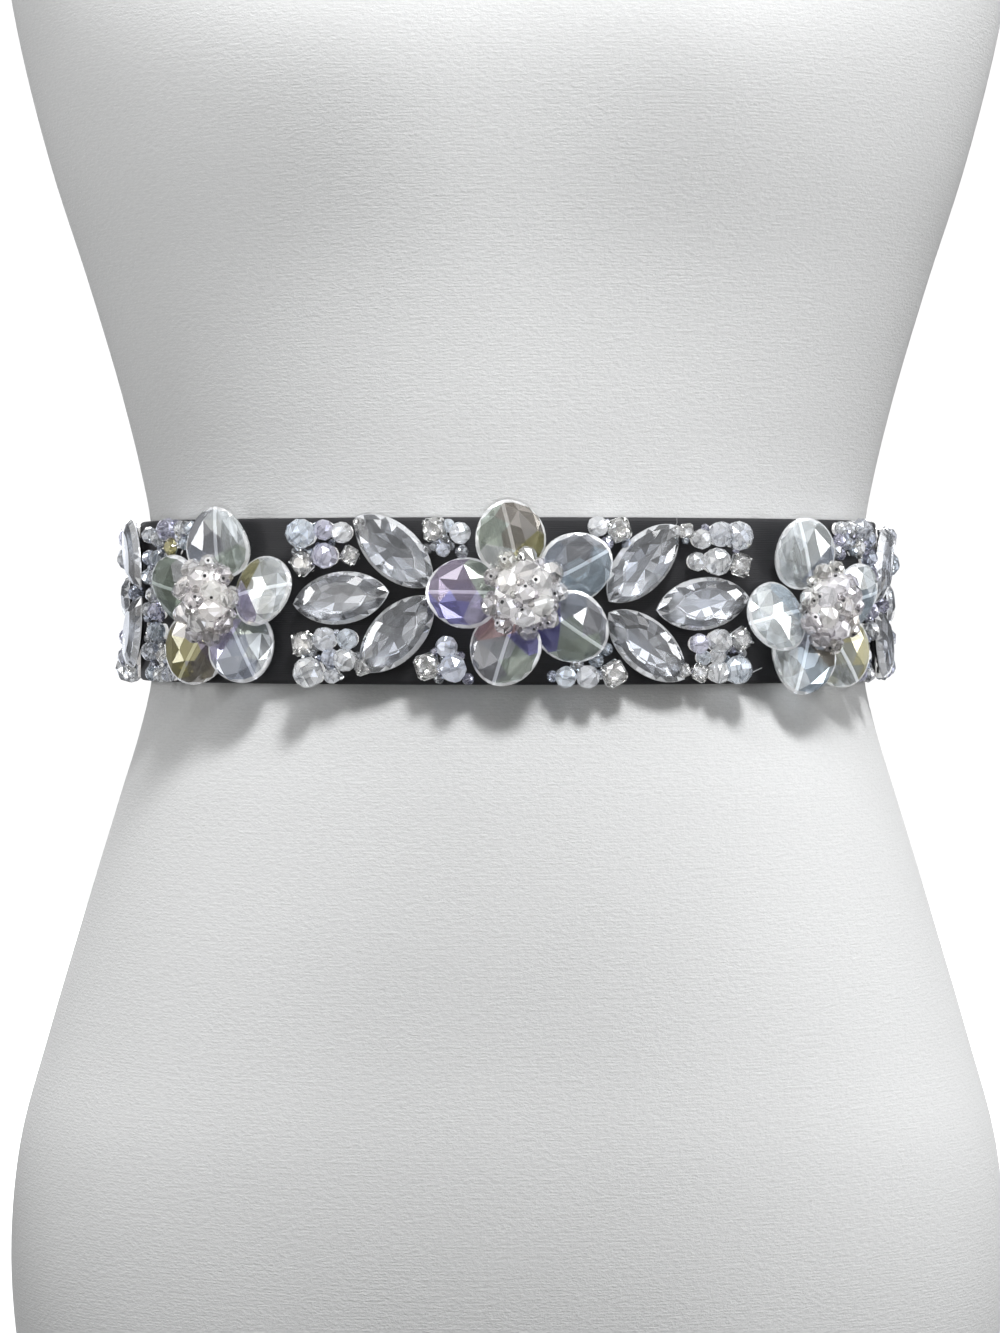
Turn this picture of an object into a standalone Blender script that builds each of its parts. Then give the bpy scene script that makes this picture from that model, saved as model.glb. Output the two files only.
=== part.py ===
"""A beaded bridal sash worn round the waist of a limbless dress form.

The sash is a stiff satin band, 50 mm high, wrapped once round the waist and lapped at the back. Crystal
flowers, pointed-oval navettes and clusters of round beads and set stones are sewn on its front and sides.
Run with: blender --background --python part.py, or from Blender's text editor.

Frame: metres, +Z up, the front faces -Y, +X is to the right as seen from the front. The origin is at the
middle of the dress form's flat underside. Sizes below are in millimetres and become metres in MM.
A place on the band is (along, up): millimetres along its outer face from the middle of the front, positive
towards +X, and millimetres above the band's middle height.
"""

import math

import bmesh
import bpy
import numpy as np
from mathutils import Matrix, Vector

MM = 0.001

# Driving dimensions
WAIST_HEIGHT = 270.0  # from the underside of the form to the waist
SEAM_GAP = 0.3  # between one piece and the next
BAND_HEIGHT = 50.0
BAND_WALL = 2.4
BAND_HALF_WIDTH = 116.7  # of the outer face, across the body
BAND_HALF_DEPTH = 89.0  # of the outer face, front to back
BAND_EDGE_ROUND = 0.7
LAP_LENGTH = 45.0  # how far one end of the band lies over the other
LAP_RAMP = 32.0  # the stretch in which the upper end climbs over the lower one
LAP_GAP = 0.4
BAND_STEPS = 80

# The dress form's sections: height above the waist, half width, depth in front and behind, squareness
FORM_SECTIONS = (
    # up, half_width, front, back, squareness
    (-270.0, 148.0, 99.0, 108.0, 2.25),
    (-235.0, 155.5, 104.0, 118.4, 2.25),
    (-200.0, 157.5, 106.0, 121.2, 2.22),
    (-170.0, 154.5, 105.0, 118.8, 2.20),
    (-137.0, 145.7, 101.5, 111.0, 2.16),
    (-98.0, 134.2, 97.5, 102.0, 2.10),
    (-60.0, 122.6, 91.5, 92.5, 2.04),
    (-41.0, 116.8, 88.0, 88.0, 2.00),
    (-26.0, 113.3, 85.7, 85.7, 2.00),
    (0.0, 112.9, 85.2, 85.2, 2.00),
    (26.0, 113.5, 85.8, 85.8, 2.00),
    (41.0, 116.4, 88.0, 88.3, 2.00),
    (60.0, 121.0, 91.0, 92.0, 2.04),
    (98.0, 132.0, 97.0, 99.5, 2.12),
    (137.0, 144.4, 103.0, 107.0, 2.20),
    (175.0, 154.0, 107.0, 111.0, 2.25),
    (215.0, 161.0, 104.0, 112.0, 2.28),
    (255.0, 167.0, 96.0, 109.0, 2.28),
    (290.0, 169.0, 84.0, 101.0, 2.25),
    (318.0, 161.0, 73.0, 90.0, 2.20),
    (340.0, 138.0, 64.0, 77.0, 2.12),
    (358.0, 104.0, 58.0, 67.0, 2.05),
    (374.0, 74.0, 54.0, 60.0, 2.00),
    (392.0, 59.0, 52.0, 56.0, 2.00),
    (430.0, 55.0, 50.0, 54.0, 2.00),
)
FORM_POINTS = 40
FORM_RINGS = 30
BUST_UP, BUST_ACROSS = 172.0, 68.0
BUST_DEPTH, BUST_SPREAD_ACROSS, BUST_SPREAD_UP = 20.0, 44.0, 44.0

# Flowers: where each heart is, and the direction and tilt of its petals in degrees
FLOWERS = {
    # name: along, up, petal directions, petal tilts
    "centre": (4.3, 2.1, (28.0, 103.0, 179.0, 252.0, 325.0), (17.0, 15.0, 15.0, 15.0, 17.0)),
    "left": (-91.7, 0.2, (10.0, 88.5, 168.0, 239.0, 304.0), (-17.0, 12.0, -14.0, -15.0, -17.0)),
    "right": (99.5, -1.8, (10.0, 110.5, 190.0, 247.0, 306.0), (15.0, -12.0, 17.0, 18.0, 18.0)),
}
PETAL_REACH = 17.4  # from the heart's middle to the petal's middle
PETAL_LENGTH, PETAL_WIDTH, PETAL_THICKNESS = 22.2, 21.6, 6.2
PETAL_RIM, PETAL_TABLE = 1.2, 0.44  # rim thickness, and the flat's share of the outline
PETAL_LIFT, PETAL_CUP = 4.95, 7.0  # height of a petal's middle off the band, and its rise towards the tip
PETAL_SIDES = 12

# A heart is a core on a stem, with rings of beads: how many, ring radius, lift, bead diameter, start angle
HEART_CORE = ((4.1, 0.3), (4.1, 4.4), (8.4, 8.6), (9.0, 10.2), (7.0, 12.6), (3.6, 14.0))
HEART_RINGS = (
    (9, 9.2, 10.8, 5.8, 0.0),
    (6, 5.2, 13.6, 6.0, 20.0),
    (1, 0.0, 15.2, 6.0, 0.0),
)
HEART_SIDES = 10
HEART_TALL = 1.12  # the mound is taller up the band than along it

NAVETTE_LENGTH, NAVETTE_WIDTH, NAVETTE_THICKNESS = 31.2, 15.8, 5.4
NAVETTE_GIRDLE, NAVETTE_TABLE = 1.4, 0.56
NAVETTE_FULLNESS = 0.85  # 1 is two plain arcs, less is rounder towards the tips
NAVETTE_SIDES = 16

# Sprays: the stones outward of a flower. "out" is millimetres along the band away from the heart
SPRAY_NAVETTES = {
    "left": (
        # name, out, up, turn: degrees that the outer tip rises
        ("upper", 38.2, 14.9, 41.5),
        ("middle", 54.6, 0.9, -7.0),
        ("lower", 37.4, -9.9, -45.0),
    ),
    "right": (
        ("upper", 35.6, 11.2, 47.0),
        ("middle", 54.6, -0.8, 7.0),
        ("lower", 36.8, -13.4, -40.0),
    ),
}
SPRAY_BEADS = {
    "left": {
        # cluster: rows of out, up, diameter, kind
        "top_corner": (
            (66.5, 20.2, 8.7, "round"),
            (59.6, 21.3, 6.0, "round"),
            (53.9, 20.5, 6.2, "round"),
            (66.6, 11.4, 7.8, "set"),
            (59.0, 13.6, 7.6, "round"),
            (51.8, 13.6, 5.8, "set"),
        ),
        "bottom_corner": (
            (66.6, -12.8, 7.8, "set"),
            (59.2, -11.4, 7.0, "round"),
            (52.2, -11.4, 6.2, "round"),
            (64.0, -21.4, 9.0, "round"),
            (57.8, -16.9, 5.4, "round"),
            (52.9, -17.6, 6.8, "round"),
            (57.4, -22.3, 4.8, "round"),
        ),
        "top_inner": (
            (26.0, 21.3, 7.6, "set"),
            (22.0, 22.4, 4.0, "round"),
            (18.4, 20.2, 6.2, "round"),
            (23.6, 15.4, 4.4, "round"),
        ),
        "bottom_inner": (
            (22.4, -13.6, 6.4, "round"),
            (28.0, -19.4, 8.2, "set"),
            (20.4, -20.0, 8.0, "round"),
        ),
    },
    "right": {
        "top_corner": (
            (49.4, 20.8, 5.0, "set"),
            (53.8, 18.6, 6.0, "round"),
            (59.8, 20.0, 7.5, "round"),
            (65.4, 19.6, 8.4, "round"),
            (52.4, 11.8, 5.6, "round"),
            (58.4, 11.8, 8.0, "round"),
            (66.8, 10.9, 7.5, "set"),
        ),
        "bottom_corner": (
            (53.0, -12.8, 5.8, "round"),
            (59.4, -12.0, 7.2, "round"),
            (67.0, -11.6, 7.5, "set"),
            (54.8, -17.0, 4.4, "round"),
            (59.4, -16.6, 4.8, "round"),
            (53.8, -21.4, 5.8, "set"),
            (59.4, -21.4, 6.6, "round"),
            (65.2, -20.7, 8.4, "round"),
        ),
        "top_inner": (
            (21.8, 22.2, 6.0, "round"),
            (28.2, 21.2, 7.6, "set"),
        ),
        "bottom_inner": (
            (12.4, -22.6, 6.2, "round"),
            (18.8, -22.6, 6.8, "round"),
            (26.6, -21.6, 8.0, "set"),
        ),
    },
}
# At the two ends the fan stands further out, and fuller bunches fill the space between it and the flower
END_BEADS = {
    "top_inner": (
        (13.4, 22.2, 4.4, "round"),
        (18.0, 22.2, 4.8, "round"),
        (23.6, 22.0, 6.8, "round"),
        (16.0, 17.8, 4.4, "round"),
        (22.8, 16.6, 6.6, "set"),
        (30.2, 19.2, 5.0, "round"),
        (30.6, 13.2, 5.2, "round"),
        (36.6, 20.4, 5.0, "round"),
        (36.8, 13.4, 4.8, "round"),
        (31.6, 7.4, 5.2, "round"),
        (36.8, 7.6, 5.0, "round"),
    ),
    "bottom_inner": (
        (34.6, -22.4, 4.8, "round"),
        (29.6, -22.8, 4.8, "round"),
        (24.6, -22.6, 4.6, "round"),
        (28.0, -16.8, 6.2, "set"),
        (34.6, -15.6, 6.0, "round"),
        (31.2, -9.4, 5.8, "round"),
        (37.0, -9.0, 5.0, "set"),
        (31.6, -3.2, 5.4, "round"),
        (37.2, -2.6, 4.8, "round"),
        (34.4, 2.0, 4.8, "round"),
    ),
}
END_REACH = 22.0  # how far out a bead may be there, from where the fan usually stands
SPRAYS = (
    # flower, side, and how far its fan stands out from its usual place
    ("centre", "left", 0.0),
    ("centre", "right", 0.0),
    ("left", "left", 16.0),
    ("right", "right", 10.0),
)
BEAD_SEGMENTS, BEAD_RINGS = 7, 4
BEAD_SEAT = 0.45  # lift of a bead's lowest point
PAD_FOOT, PAD_TOP = 0.35, 1.25  # lifts of the two faces of the net that a cluster is sewn on
PAD_STEP = 4.0

# Colours in linear values: name: colour, roughness, metallic
FINISHES = {
    "jersey": ((0.70, 0.70, 0.70, 1.0), 0.85, 0.0),
    "satin": ((0.012, 0.012, 0.014, 1.0), 0.45, 0.0),
    "crystal": ((0.82, 0.86, 0.92, 1.0), 0.05, 0.0),
    "petal_crystal": ((0.80, 0.82, 0.90, 1.0), 0.05, 0.0),
    "foiled_crystal": ((0.55, 0.56, 0.58, 1.0), 0.08, 0.6),
}


def clear_scene():
    for old in list(bpy.data.objects):
        bpy.data.objects.remove(old, do_unlink=True)


def collection(name):
    made = bpy.data.collections.new(name)
    bpy.context.scene.collection.children.link(made)
    return made


def finish(name):
    """The material of that name, made when it is first asked for."""
    found = bpy.data.materials.get(name)
    if found:
        return found
    colour, roughness, metallic = FINISHES[name]
    made = bpy.data.materials.new(name)
    made.use_nodes = True
    shader = made.node_tree.nodes["Principled BSDF"]
    shader.inputs["Base Color"].default_value = colour
    shader.inputs["Roughness"].default_value = roughness
    shader.inputs["Metallic"].default_value = metallic
    made.diffuse_color = colour
    return made


def add_object(name, mesh, where, material_name=None, matrix=None):
    made = bpy.data.objects.new(name, mesh)
    where.objects.link(made)
    if material_name:
        mesh.materials.clear()
        mesh.materials.append(finish(material_name))
    if matrix is not None:
        made.matrix_world = matrix
    return made


def mesh_from(name, bm):
    bmesh.ops.recalc_face_normals(bm, faces=bm.faces)
    mesh = bpy.data.meshes.new(name)
    bm.to_mesh(mesh)
    bm.free()
    return mesh


def loft(name, rings):
    """A closed mesh through rings of equally many points, with a flat cap at each end."""
    bm = bmesh.new()
    loops = [[bm.verts.new(point) for point in ring] for ring in rings]
    for lower, upper in zip(loops, loops[1:]):
        for i in range(len(lower)):
            j = (i + 1) % len(lower)
            bm.faces.new((lower[i], lower[j], upper[j], upper[i]))
    bm.faces.new(list(reversed(loops[0])))
    bm.faces.new(loops[-1])
    return mesh_from(name, bm)


# The band's line: the outer face is an ellipse, measured along its length
ANGLES = np.linspace(-1.2 * math.pi, 1.2 * math.pi, 4801)
STEP_LENGTHS = np.hypot(
    np.diff(BAND_HALF_WIDTH * np.sin(ANGLES)), np.diff(BAND_HALF_DEPTH * np.cos(ANGLES))
)
ALONG = np.concatenate([[0.0], np.cumsum(STEP_LENGTHS)])
ALONG -= ALONG[len(ALONG) // 2]
GIRTH = 2 * float(np.interp(math.pi, ANGLES, ALONG))


def band_direction(along):
    """(point on the outer face, outward normal), in millimetres, at that distance from the front."""
    angle = float(np.interp(along, ALONG, ANGLES))
    point = Vector((BAND_HALF_WIDTH * math.sin(angle), -BAND_HALF_DEPTH * math.cos(angle), 0.0))
    normal = Vector((math.sin(angle) / BAND_HALF_WIDTH, -math.cos(angle) / BAND_HALF_DEPTH, 0.0))
    return point, normal.normalized()


def on_band(along, up, lift):
    """A point that far off the band's outer face, in metres."""
    point, normal = band_direction(along)
    place = point + normal * lift
    place.z = WAIST_HEIGHT + up
    return place * MM


def frame_on_band(along, up, lift=0.0, turn=0.0):
    """Axes for a piece laid on the band: its X runs along the band, turned; its Z points out."""
    _, out = band_direction(along)
    rise = Vector((0.0, 0.0, 1.0))
    across = rise.cross(out).normalized()
    axes = Matrix((across, rise, out)).transposed().to_4x4()
    return Matrix.Translation(on_band(along, up, lift)) @ axes @ Matrix.Rotation(math.radians(turn), 4, "Z")


def smooth_columns(rows, at):
    """Every column after the first, read from a smooth curve through the rows at the heights in at."""
    table = np.array(rows, float)
    x, y = table[:, 0], table[:, 1:]
    slope = np.gradient(y, x, axis=0)
    k = np.clip(np.searchsorted(x, at, side="right") - 1, 0, len(x) - 2)
    width = (x[k + 1] - x[k])[:, None]
    t = ((at - x[k]) / (x[k + 1] - x[k]))[:, None]
    return (
        y[k] * (1 + 2 * t) * (1 - t) ** 2
        + slope[k] * width * t * (1 - t) ** 2
        + y[k + 1] * t * t * (3 - 2 * t)
        + slope[k + 1] * width * t * t * (t - 1)
    )


def form_ring(up, half_width, front, back, squareness, points):
    """One level section of the dress form, with the bust added in front."""
    ring = []
    for i in range(points):
        angle = 2 * math.pi * i / points
        s, c = math.sin(angle), math.cos(angle)
        x = half_width * math.copysign(abs(s) ** (2 / squareness), s)
        y = -(front if c > 0 else back) * math.copysign(abs(c) ** (2 / squareness), c)
        for side in (-1, 1):
            across = (x - side * BUST_ACROSS) / BUST_SPREAD_ACROSS
            above = (up - BUST_UP) / BUST_SPREAD_UP
            y -= BUST_DEPTH * max(c, 0.0) ** 0.6 * math.exp(-0.5 * (across**2 + above**2))
        ring.append(Vector((x, y, WAIST_HEIGHT + up)) * MM)
    return ring


def ring_heights():
    """Heights of the form's rings: closer where the outline turns, at the shoulders and the waist."""
    table_heights = np.array([row[0] for row in FORM_SECTIONS])
    places = np.linspace(0, len(table_heights) - 1, FORM_RINGS)
    return np.interp(places, np.arange(len(table_heights)), table_heights)


def make_dress_form(parts):
    heights = ring_heights()
    rows = smooth_columns(FORM_SECTIONS, heights)
    rings = [form_ring(up, *row, points=FORM_POINTS) for up, row in zip(heights, rows)]
    made = add_object("dress_form", loft("dress_form", rings), parts, "jersey")
    made.data.shade_smooth()
    made.data.set_sharp_from_angle(angle=math.radians(50))


def lap_lift(along):
    """How far the band's upper end stands off the lower one, near the lap at the back."""
    start = (GIRTH - LAP_LENGTH) / 2 - LAP_RAMP
    t = min(max((along - start) / LAP_RAMP, 0.0), 1.0)
    return (BAND_WALL + LAP_GAP) * t * t * (3 - 2 * t)


def make_band(parts):
    """The band as an open strip from one end to the other, thickened inwards and rounded at its edges."""
    first, last = -(GIRTH + LAP_LENGTH) / 2, (GIRTH + LAP_LENGTH) / 2
    levels = (-0.5, 0.0, 0.5)
    bm = bmesh.new()
    columns = []
    for along in np.linspace(first, last, BAND_STEPS + 1):
        column = [bm.verts.new(on_band(along, BAND_HEIGHT * level, lap_lift(along))) for level in levels]
        columns.append(column)
    for left, right in zip(columns, columns[1:]):
        for lower in range(len(levels) - 1):
            bm.faces.new((left[lower], right[lower], right[lower + 1], left[lower + 1]))
    mesh = bpy.data.meshes.new("sash_band")
    bm.to_mesh(mesh)
    bm.free()
    made = add_object("sash_band", mesh, parts, "satin")
    wall = made.modifiers.new("wall", "SOLIDIFY")
    wall.thickness = BAND_WALL * MM
    wall.offset = -1.0
    edges = made.modifiers.new("rounded edges", "BEVEL")
    edges.width = BAND_EDGE_ROUND * MM
    edges.segments = 1
    edges.limit_method = "ANGLE"
    edges.angle_limit = math.radians(60)


def petal_mesh():
    """A flat faceted bead, egg-shaped along X, narrower at its outer end, with a table on both sides."""
    levels = (
        # share of the outline, height as a share of the half thickness
        (PETAL_TABLE, -1.0),
        (1.0, -PETAL_RIM / PETAL_THICKNESS),
        (1.0, PETAL_RIM / PETAL_THICKNESS),
        (PETAL_TABLE, 1.0),
    )
    rings = []
    for share, height in levels:
        ring = []
        for i in range(PETAL_SIDES):
            angle = 2 * math.pi * (i + 0.5) / PETAL_SIDES
            width = PETAL_WIDTH / 2 * (1 - 0.10 * math.cos(angle))
            x = PETAL_LENGTH / 2 * math.cos(angle)
            y = width * math.sin(angle)
            ring.append(Vector((x * share, y * share, PETAL_THICKNESS / 2 * height)) * MM)
        rings.append(ring)
    return loft("petal", rings)


def make_petals(parts, flower, along, up, directions, tilts):
    """Petals round the heart. Each lies in the band's frame at its own middle, so they follow the waist."""
    mesh = petal_mesh()
    for number, (direction, tilt) in enumerate(zip(directions, tilts), 1):
        angle = math.radians(direction)
        place = frame_on_band(
            along + PETAL_REACH * math.cos(angle), up + PETAL_REACH * math.sin(angle), PETAL_LIFT, direction
        )
        cup = Matrix.Rotation(-math.radians(PETAL_CUP), 4, "Y")
        roll = Matrix.Rotation(math.radians(tilt), 4, "X")
        add_object(f"petal_{flower}_{number}", mesh, parts, "petal_crystal", place @ cup @ roll)


def bead_mesh(diameter):
    bm = bmesh.new()
    bmesh.ops.create_uvsphere(bm, u_segments=BEAD_SEGMENTS, v_segments=BEAD_RINGS, radius=diameter / 2 * MM)
    return mesh_from("bead", bm)


def set_stone_mesh(size):
    """A rhinestone in a square claw setting: a box with cut corners and a table on top."""
    levels = (
        # share of the half size, corner cut, lift as a share of the size
        (0.80, 0.30, -0.40),
        (1.00, 0.25, -0.05),
        (0.92, 0.40, 0.12),
        (0.55, 0.42, 0.34),
    )
    rings = []
    for share, cut, lift in levels:
        ring = []
        for quarter in range(4):
            for x, y in ((1.0, cut - 1.0), (1.0, 1.0 - cut)):
                turned = Matrix.Rotation(quarter * math.pi / 2, 2) @ Vector((x, y)) * (share / 2)
                ring.append(Vector((turned.x, turned.y, lift)) * (size * MM))
        rings.append(ring)
    return loft("set_stone", rings)


def join_to(base, joined, stones, name):
    """Unites the objects in a helper collection with the base, by one exact Boolean."""
    for stone in stones:
        stone.hide_render = True
        stone.display_type = "WIRE"
    union = base.modifiers.new(f"{name} sewn on", "BOOLEAN")
    union.operation = "UNION"
    union.operand_type = "COLLECTION"
    union.collection = joined
    union.solver = "EXACT"


def heart_point(radius, turn, lift):
    """A point of a ring of the mound, from the middle of the flower."""
    return Vector((radius * math.cos(turn), HEART_TALL * radius * math.sin(turn), lift)) * MM


def make_heart(parts, helpers, flower, along, up):
    """The bead dome at the middle of a flower, on a stem that passes between the petals."""
    rings = []
    for radius, lift in HEART_CORE:
        turns = [2 * math.pi * i / HEART_SIDES for i in range(HEART_SIDES)]
        rings.append([heart_point(radius, turn, lift) for turn in turns])
    place = frame_on_band(along, up)
    core = add_object(f"heart_{flower}", loft("heart", rings), parts, "crystal", place)
    joined = bpy.data.collections.new(f"beads of heart_{flower}")
    helpers.children.link(joined)
    stones = []
    for count, radius, lift, diameter, start in HEART_RINGS:
        for i in range(count):
            angle = math.radians(start) + 2 * math.pi * i / count
            spot = heart_point(radius, angle, lift)
            spin = Matrix.Rotation(0.4 + 1.7 * i, 4, "Z") @ Matrix.Rotation(0.5, 4, "X")
            bead = add_object(
                f"bead_{flower}_{len(stones)}",
                bead_mesh(diameter),
                joined,
                "crystal",
                place @ Matrix.Translation(spot) @ spin,
            )
            stones.append(bead)
    join_to(core, joined, stones, "beads")


def navette_mesh():
    """A pointed oval, a little fuller than two equal arcs: flat back, low girdle, crown up to its table."""
    radius = (NAVETTE_LENGTH**2 + NAVETTE_WIDTH**2) / (4 * NAVETTE_WIDTH)
    half_turn = math.asin(NAVETTE_LENGTH / 2 / radius)
    outline = []
    half = NAVETTE_SIDES // 2
    for side in (1, -1):
        for i in range(half):
            angle = half_turn * (1 - 2 * i / half)
            bulge = (radius * math.cos(angle) - radius) / (NAVETTE_WIDTH / 2) + 1.0
            bulge = NAVETTE_WIDTH / 2 * max(bulge, 0.0) ** NAVETTE_FULLNESS
            outline.append((side * radius * math.sin(angle), side * bulge))
    levels = ((0.90, 0.0), (1.0, 0.5), (1.0, NAVETTE_GIRDLE), (NAVETTE_TABLE, NAVETTE_THICKNESS))
    rings = []
    for share, lift in levels:
        rings.append([Vector((x * share, y * share, lift)) * MM for x, y in outline])
    return loft("navette", rings)


def make_navettes(parts, flower, side, along, further):
    outward = 1 if side == "right" else -1
    for name, out, up, turn in SPRAY_NAVETTES[side]:
        turned = turn if outward > 0 else 180.0 - turn
        place = frame_on_band(along + outward * (out + further), up, SEAM_GAP, turned)
        add_object(f"navette_{flower}_{side}_{name}", navette_mesh(), parts, "foiled_crystal", place)


def spray_clusters(side, further):
    """The clusters of a spray: the corner ones move out with the fan, the inner ones stay by the flower."""
    clusters = {}
    for corner, rows in SPRAY_BEADS[side].items():
        if corner.endswith("corner"):
            clusters[corner] = [(out + further, up, size, kind) for out, up, size, kind in rows]
        elif further:
            clusters[corner] = [row for row in END_BEADS[corner] if row[0] < END_REACH + further]
        else:
            clusters[corner] = rows
    return clusters


def pad_mesh(name, rows, along, outward):
    """A thin net pad under a cluster, bent with the band, as tall in each column as the beads there."""
    places = [(along + outward * out, up, diameter) for out, up, diameter, _ in rows]
    first = min(place[0] for place in places)
    last = max(place[0] for place in places)
    count = max(2, math.ceil((last - first) / PAD_STEP))
    rings = []
    for station in np.linspace(first, last, count + 1):
        near = [place for place in places if abs(place[0] - station) <= place[2] / 2 + 1.6]
        low = min(up - 0.15 * diameter for _, up, diameter in near)
        high = max(up + 0.15 * diameter for _, up, diameter in near)
        corners = ((low, PAD_FOOT), (high, PAD_FOOT), (high, PAD_TOP), (low, PAD_TOP))
        rings.append([on_band(station, up, lift) for up, lift in corners])
    return loft(name, rings)


def make_clusters(parts, helpers, flower, side, along, further):
    outward = 1 if side == "right" else -1
    for corner, rows in spray_clusters(side, further).items():
        name = f"cluster_{flower}_{side}_{corner}"
        pad = add_object(name, pad_mesh(name, rows, along, outward), parts, "crystal")
        joined = bpy.data.collections.new(f"beads of {name}")
        helpers.children.link(joined)
        stones = []
        for number, (out, up, size, kind) in enumerate(rows):
            reach = 0.40 * size if kind == "set" else 0.50 * size
            mesh = set_stone_mesh(size) if kind == "set" else bead_mesh(size)
            place = frame_on_band(along + outward * out, up, BEAD_SEAT + reach, 8.0 + 11.0 * number)
            stones.append(add_object(f"bead_{name}_{number}", mesh, joined, "crystal", place))
        join_to(pad, joined, stones, "beads")


def main():
    clear_scene()
    parts = collection("Bridal sash on a dress form")
    helpers = collection("Stones to join")
    make_dress_form(parts)
    make_band(parts)
    for flower, (along, up, directions, tilts) in FLOWERS.items():
        make_petals(parts, flower, along, up, directions, tilts)
        make_heart(parts, helpers, flower, along, up)
    for flower, side, further in SPRAYS:
        along = FLOWERS[flower][0]
        make_navettes(parts, flower, side, along, further)
        make_clusters(parts, helpers, flower, side, along, further)


main()
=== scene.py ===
# %% [markdown]
# # A beaded bridal sash on a dress form
#
# A black satin band is wrapped round the waist of a white display form. Crystal flowers, pointed-oval
# stones and bunches of round beads are sewn on it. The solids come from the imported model; this script
# gives every one of them its cut, its finish and its light. All lengths are metres, the front faces -Y.

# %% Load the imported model
import math
import random

import bmesh
import bpy
import numpy as np
from mathutils import Matrix, Vector


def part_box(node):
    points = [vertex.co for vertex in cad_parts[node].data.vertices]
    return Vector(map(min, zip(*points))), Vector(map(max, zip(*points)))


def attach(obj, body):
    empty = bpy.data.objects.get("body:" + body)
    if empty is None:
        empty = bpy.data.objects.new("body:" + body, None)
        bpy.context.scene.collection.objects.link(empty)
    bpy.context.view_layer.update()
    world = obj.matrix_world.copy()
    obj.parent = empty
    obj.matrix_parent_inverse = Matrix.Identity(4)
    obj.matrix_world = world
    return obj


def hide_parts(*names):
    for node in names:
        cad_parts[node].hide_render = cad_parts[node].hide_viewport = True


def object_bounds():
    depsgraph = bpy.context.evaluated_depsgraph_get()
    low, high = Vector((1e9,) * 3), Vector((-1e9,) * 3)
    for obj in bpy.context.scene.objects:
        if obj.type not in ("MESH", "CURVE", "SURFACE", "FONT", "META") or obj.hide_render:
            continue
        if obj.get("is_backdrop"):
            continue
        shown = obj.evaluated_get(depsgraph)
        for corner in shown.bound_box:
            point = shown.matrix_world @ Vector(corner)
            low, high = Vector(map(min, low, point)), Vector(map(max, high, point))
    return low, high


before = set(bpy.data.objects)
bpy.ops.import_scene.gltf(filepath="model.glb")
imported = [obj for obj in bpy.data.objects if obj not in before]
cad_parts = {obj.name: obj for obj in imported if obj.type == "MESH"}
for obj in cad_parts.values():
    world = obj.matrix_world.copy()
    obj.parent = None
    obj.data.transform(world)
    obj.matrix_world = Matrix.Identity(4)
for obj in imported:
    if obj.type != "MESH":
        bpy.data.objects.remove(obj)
SOLID_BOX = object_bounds()
MM = 0.001
print("solids:", len(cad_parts), "box:", SOLID_BOX)

# %% [markdown]
# ## Where things sit on the band
#
# The band's outer face is an ellipse in plan. A stone is placed by how far along the band it is from the
# middle of the front, how high it is above the band's middle, and how far it stands off. Measuring
# along the curve keeps the stones evenly spaced at the sides, where an angle would stretch them.

# %% The band's line
band_low, band_high = (Vector(corner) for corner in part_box("sash_band"))
WAIST = (band_low.z + band_high.z) / 2
BAND_HEIGHT = band_high.z - band_low.z
HALF_WIDTH = (band_high.x - band_low.x) / 2
HALF_DEPTH = -band_low.y

ANGLES = np.linspace(-1.2 * math.pi, 1.2 * math.pi, 4801)
STEPS = np.hypot(np.diff(HALF_WIDTH * np.sin(ANGLES)), np.diff(HALF_DEPTH * np.cos(ANGLES)))
ALONG = np.concatenate([[0.0], np.cumsum(STEPS)])
ALONG -= ALONG[len(ALONG) // 2]
GIRTH = 2 * float(np.interp(math.pi, ANGLES, ALONG))


def facing(along):
    """The point of the band's outer face that far from the front, and the direction out of it."""
    angle = float(np.interp(along, ALONG, ANGLES))
    point = Vector((HALF_WIDTH * math.sin(angle), -HALF_DEPTH * math.cos(angle), WAIST))
    out = Vector((math.sin(angle) / HALF_WIDTH, -math.cos(angle) / HALF_DEPTH, 0.0))
    return point, out.normalized()


def on_band(along, up, lift):
    """A point from its place on the band, in metres."""
    point, out = facing(along)
    return point + out * lift + Vector((0, 0, up))


def seat(along_mm, up_mm, lift_mm=0.0, turn=0.0):
    """Axes for a stone laid on the band, from millimetres: its X runs along the band, its Z points out."""
    _, out = facing(along_mm * MM)
    rise = Vector((0, 0, 1))
    axes = Matrix((rise.cross(out).normalized(), rise, out)).transposed().to_4x4()
    where = on_band(along_mm * MM, up_mm * MM, lift_mm * MM)
    return Matrix.Translation(where) @ axes @ Matrix.Rotation(math.radians(turn), 4, "Z")


print(f"girth of the band: {GIRTH * 1000:.0f} mm, waist at {WAIST * 1000:.0f} mm")

# %% [markdown]
# ## Writing shader maths as plain expressions
#
# A finish is a small graph of nodes. Wrapping an output socket in a class with operators lets the maths
# read like maths, and one method makes any other node. The finishes and the surround use these classes.

# %% Shader helpers
class Socket:
    """The output of a node. Adding, subtracting, multiplying and comparing add Math nodes."""

    def __init__(self, graph, output):
        self.graph = graph
        self.output = output

    def maths(self, operation, first, second):
        return self.graph.node("ShaderNodeMath", {"operation": operation}, {0: first, 1: second})

    def __add__(self, other):
        return self.maths("ADD", self, other)

    def __sub__(self, other):
        return self.maths("SUBTRACT", self, other)

    def __mul__(self, other):
        return self.maths("MULTIPLY", self, other)

    def __gt__(self, other):
        return self.maths("GREATER_THAN", self, other)

    def __rsub__(self, other):
        return self.maths("SUBTRACT", other, self)

    __radd__ = __add__
    __rmul__ = __mul__


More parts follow.
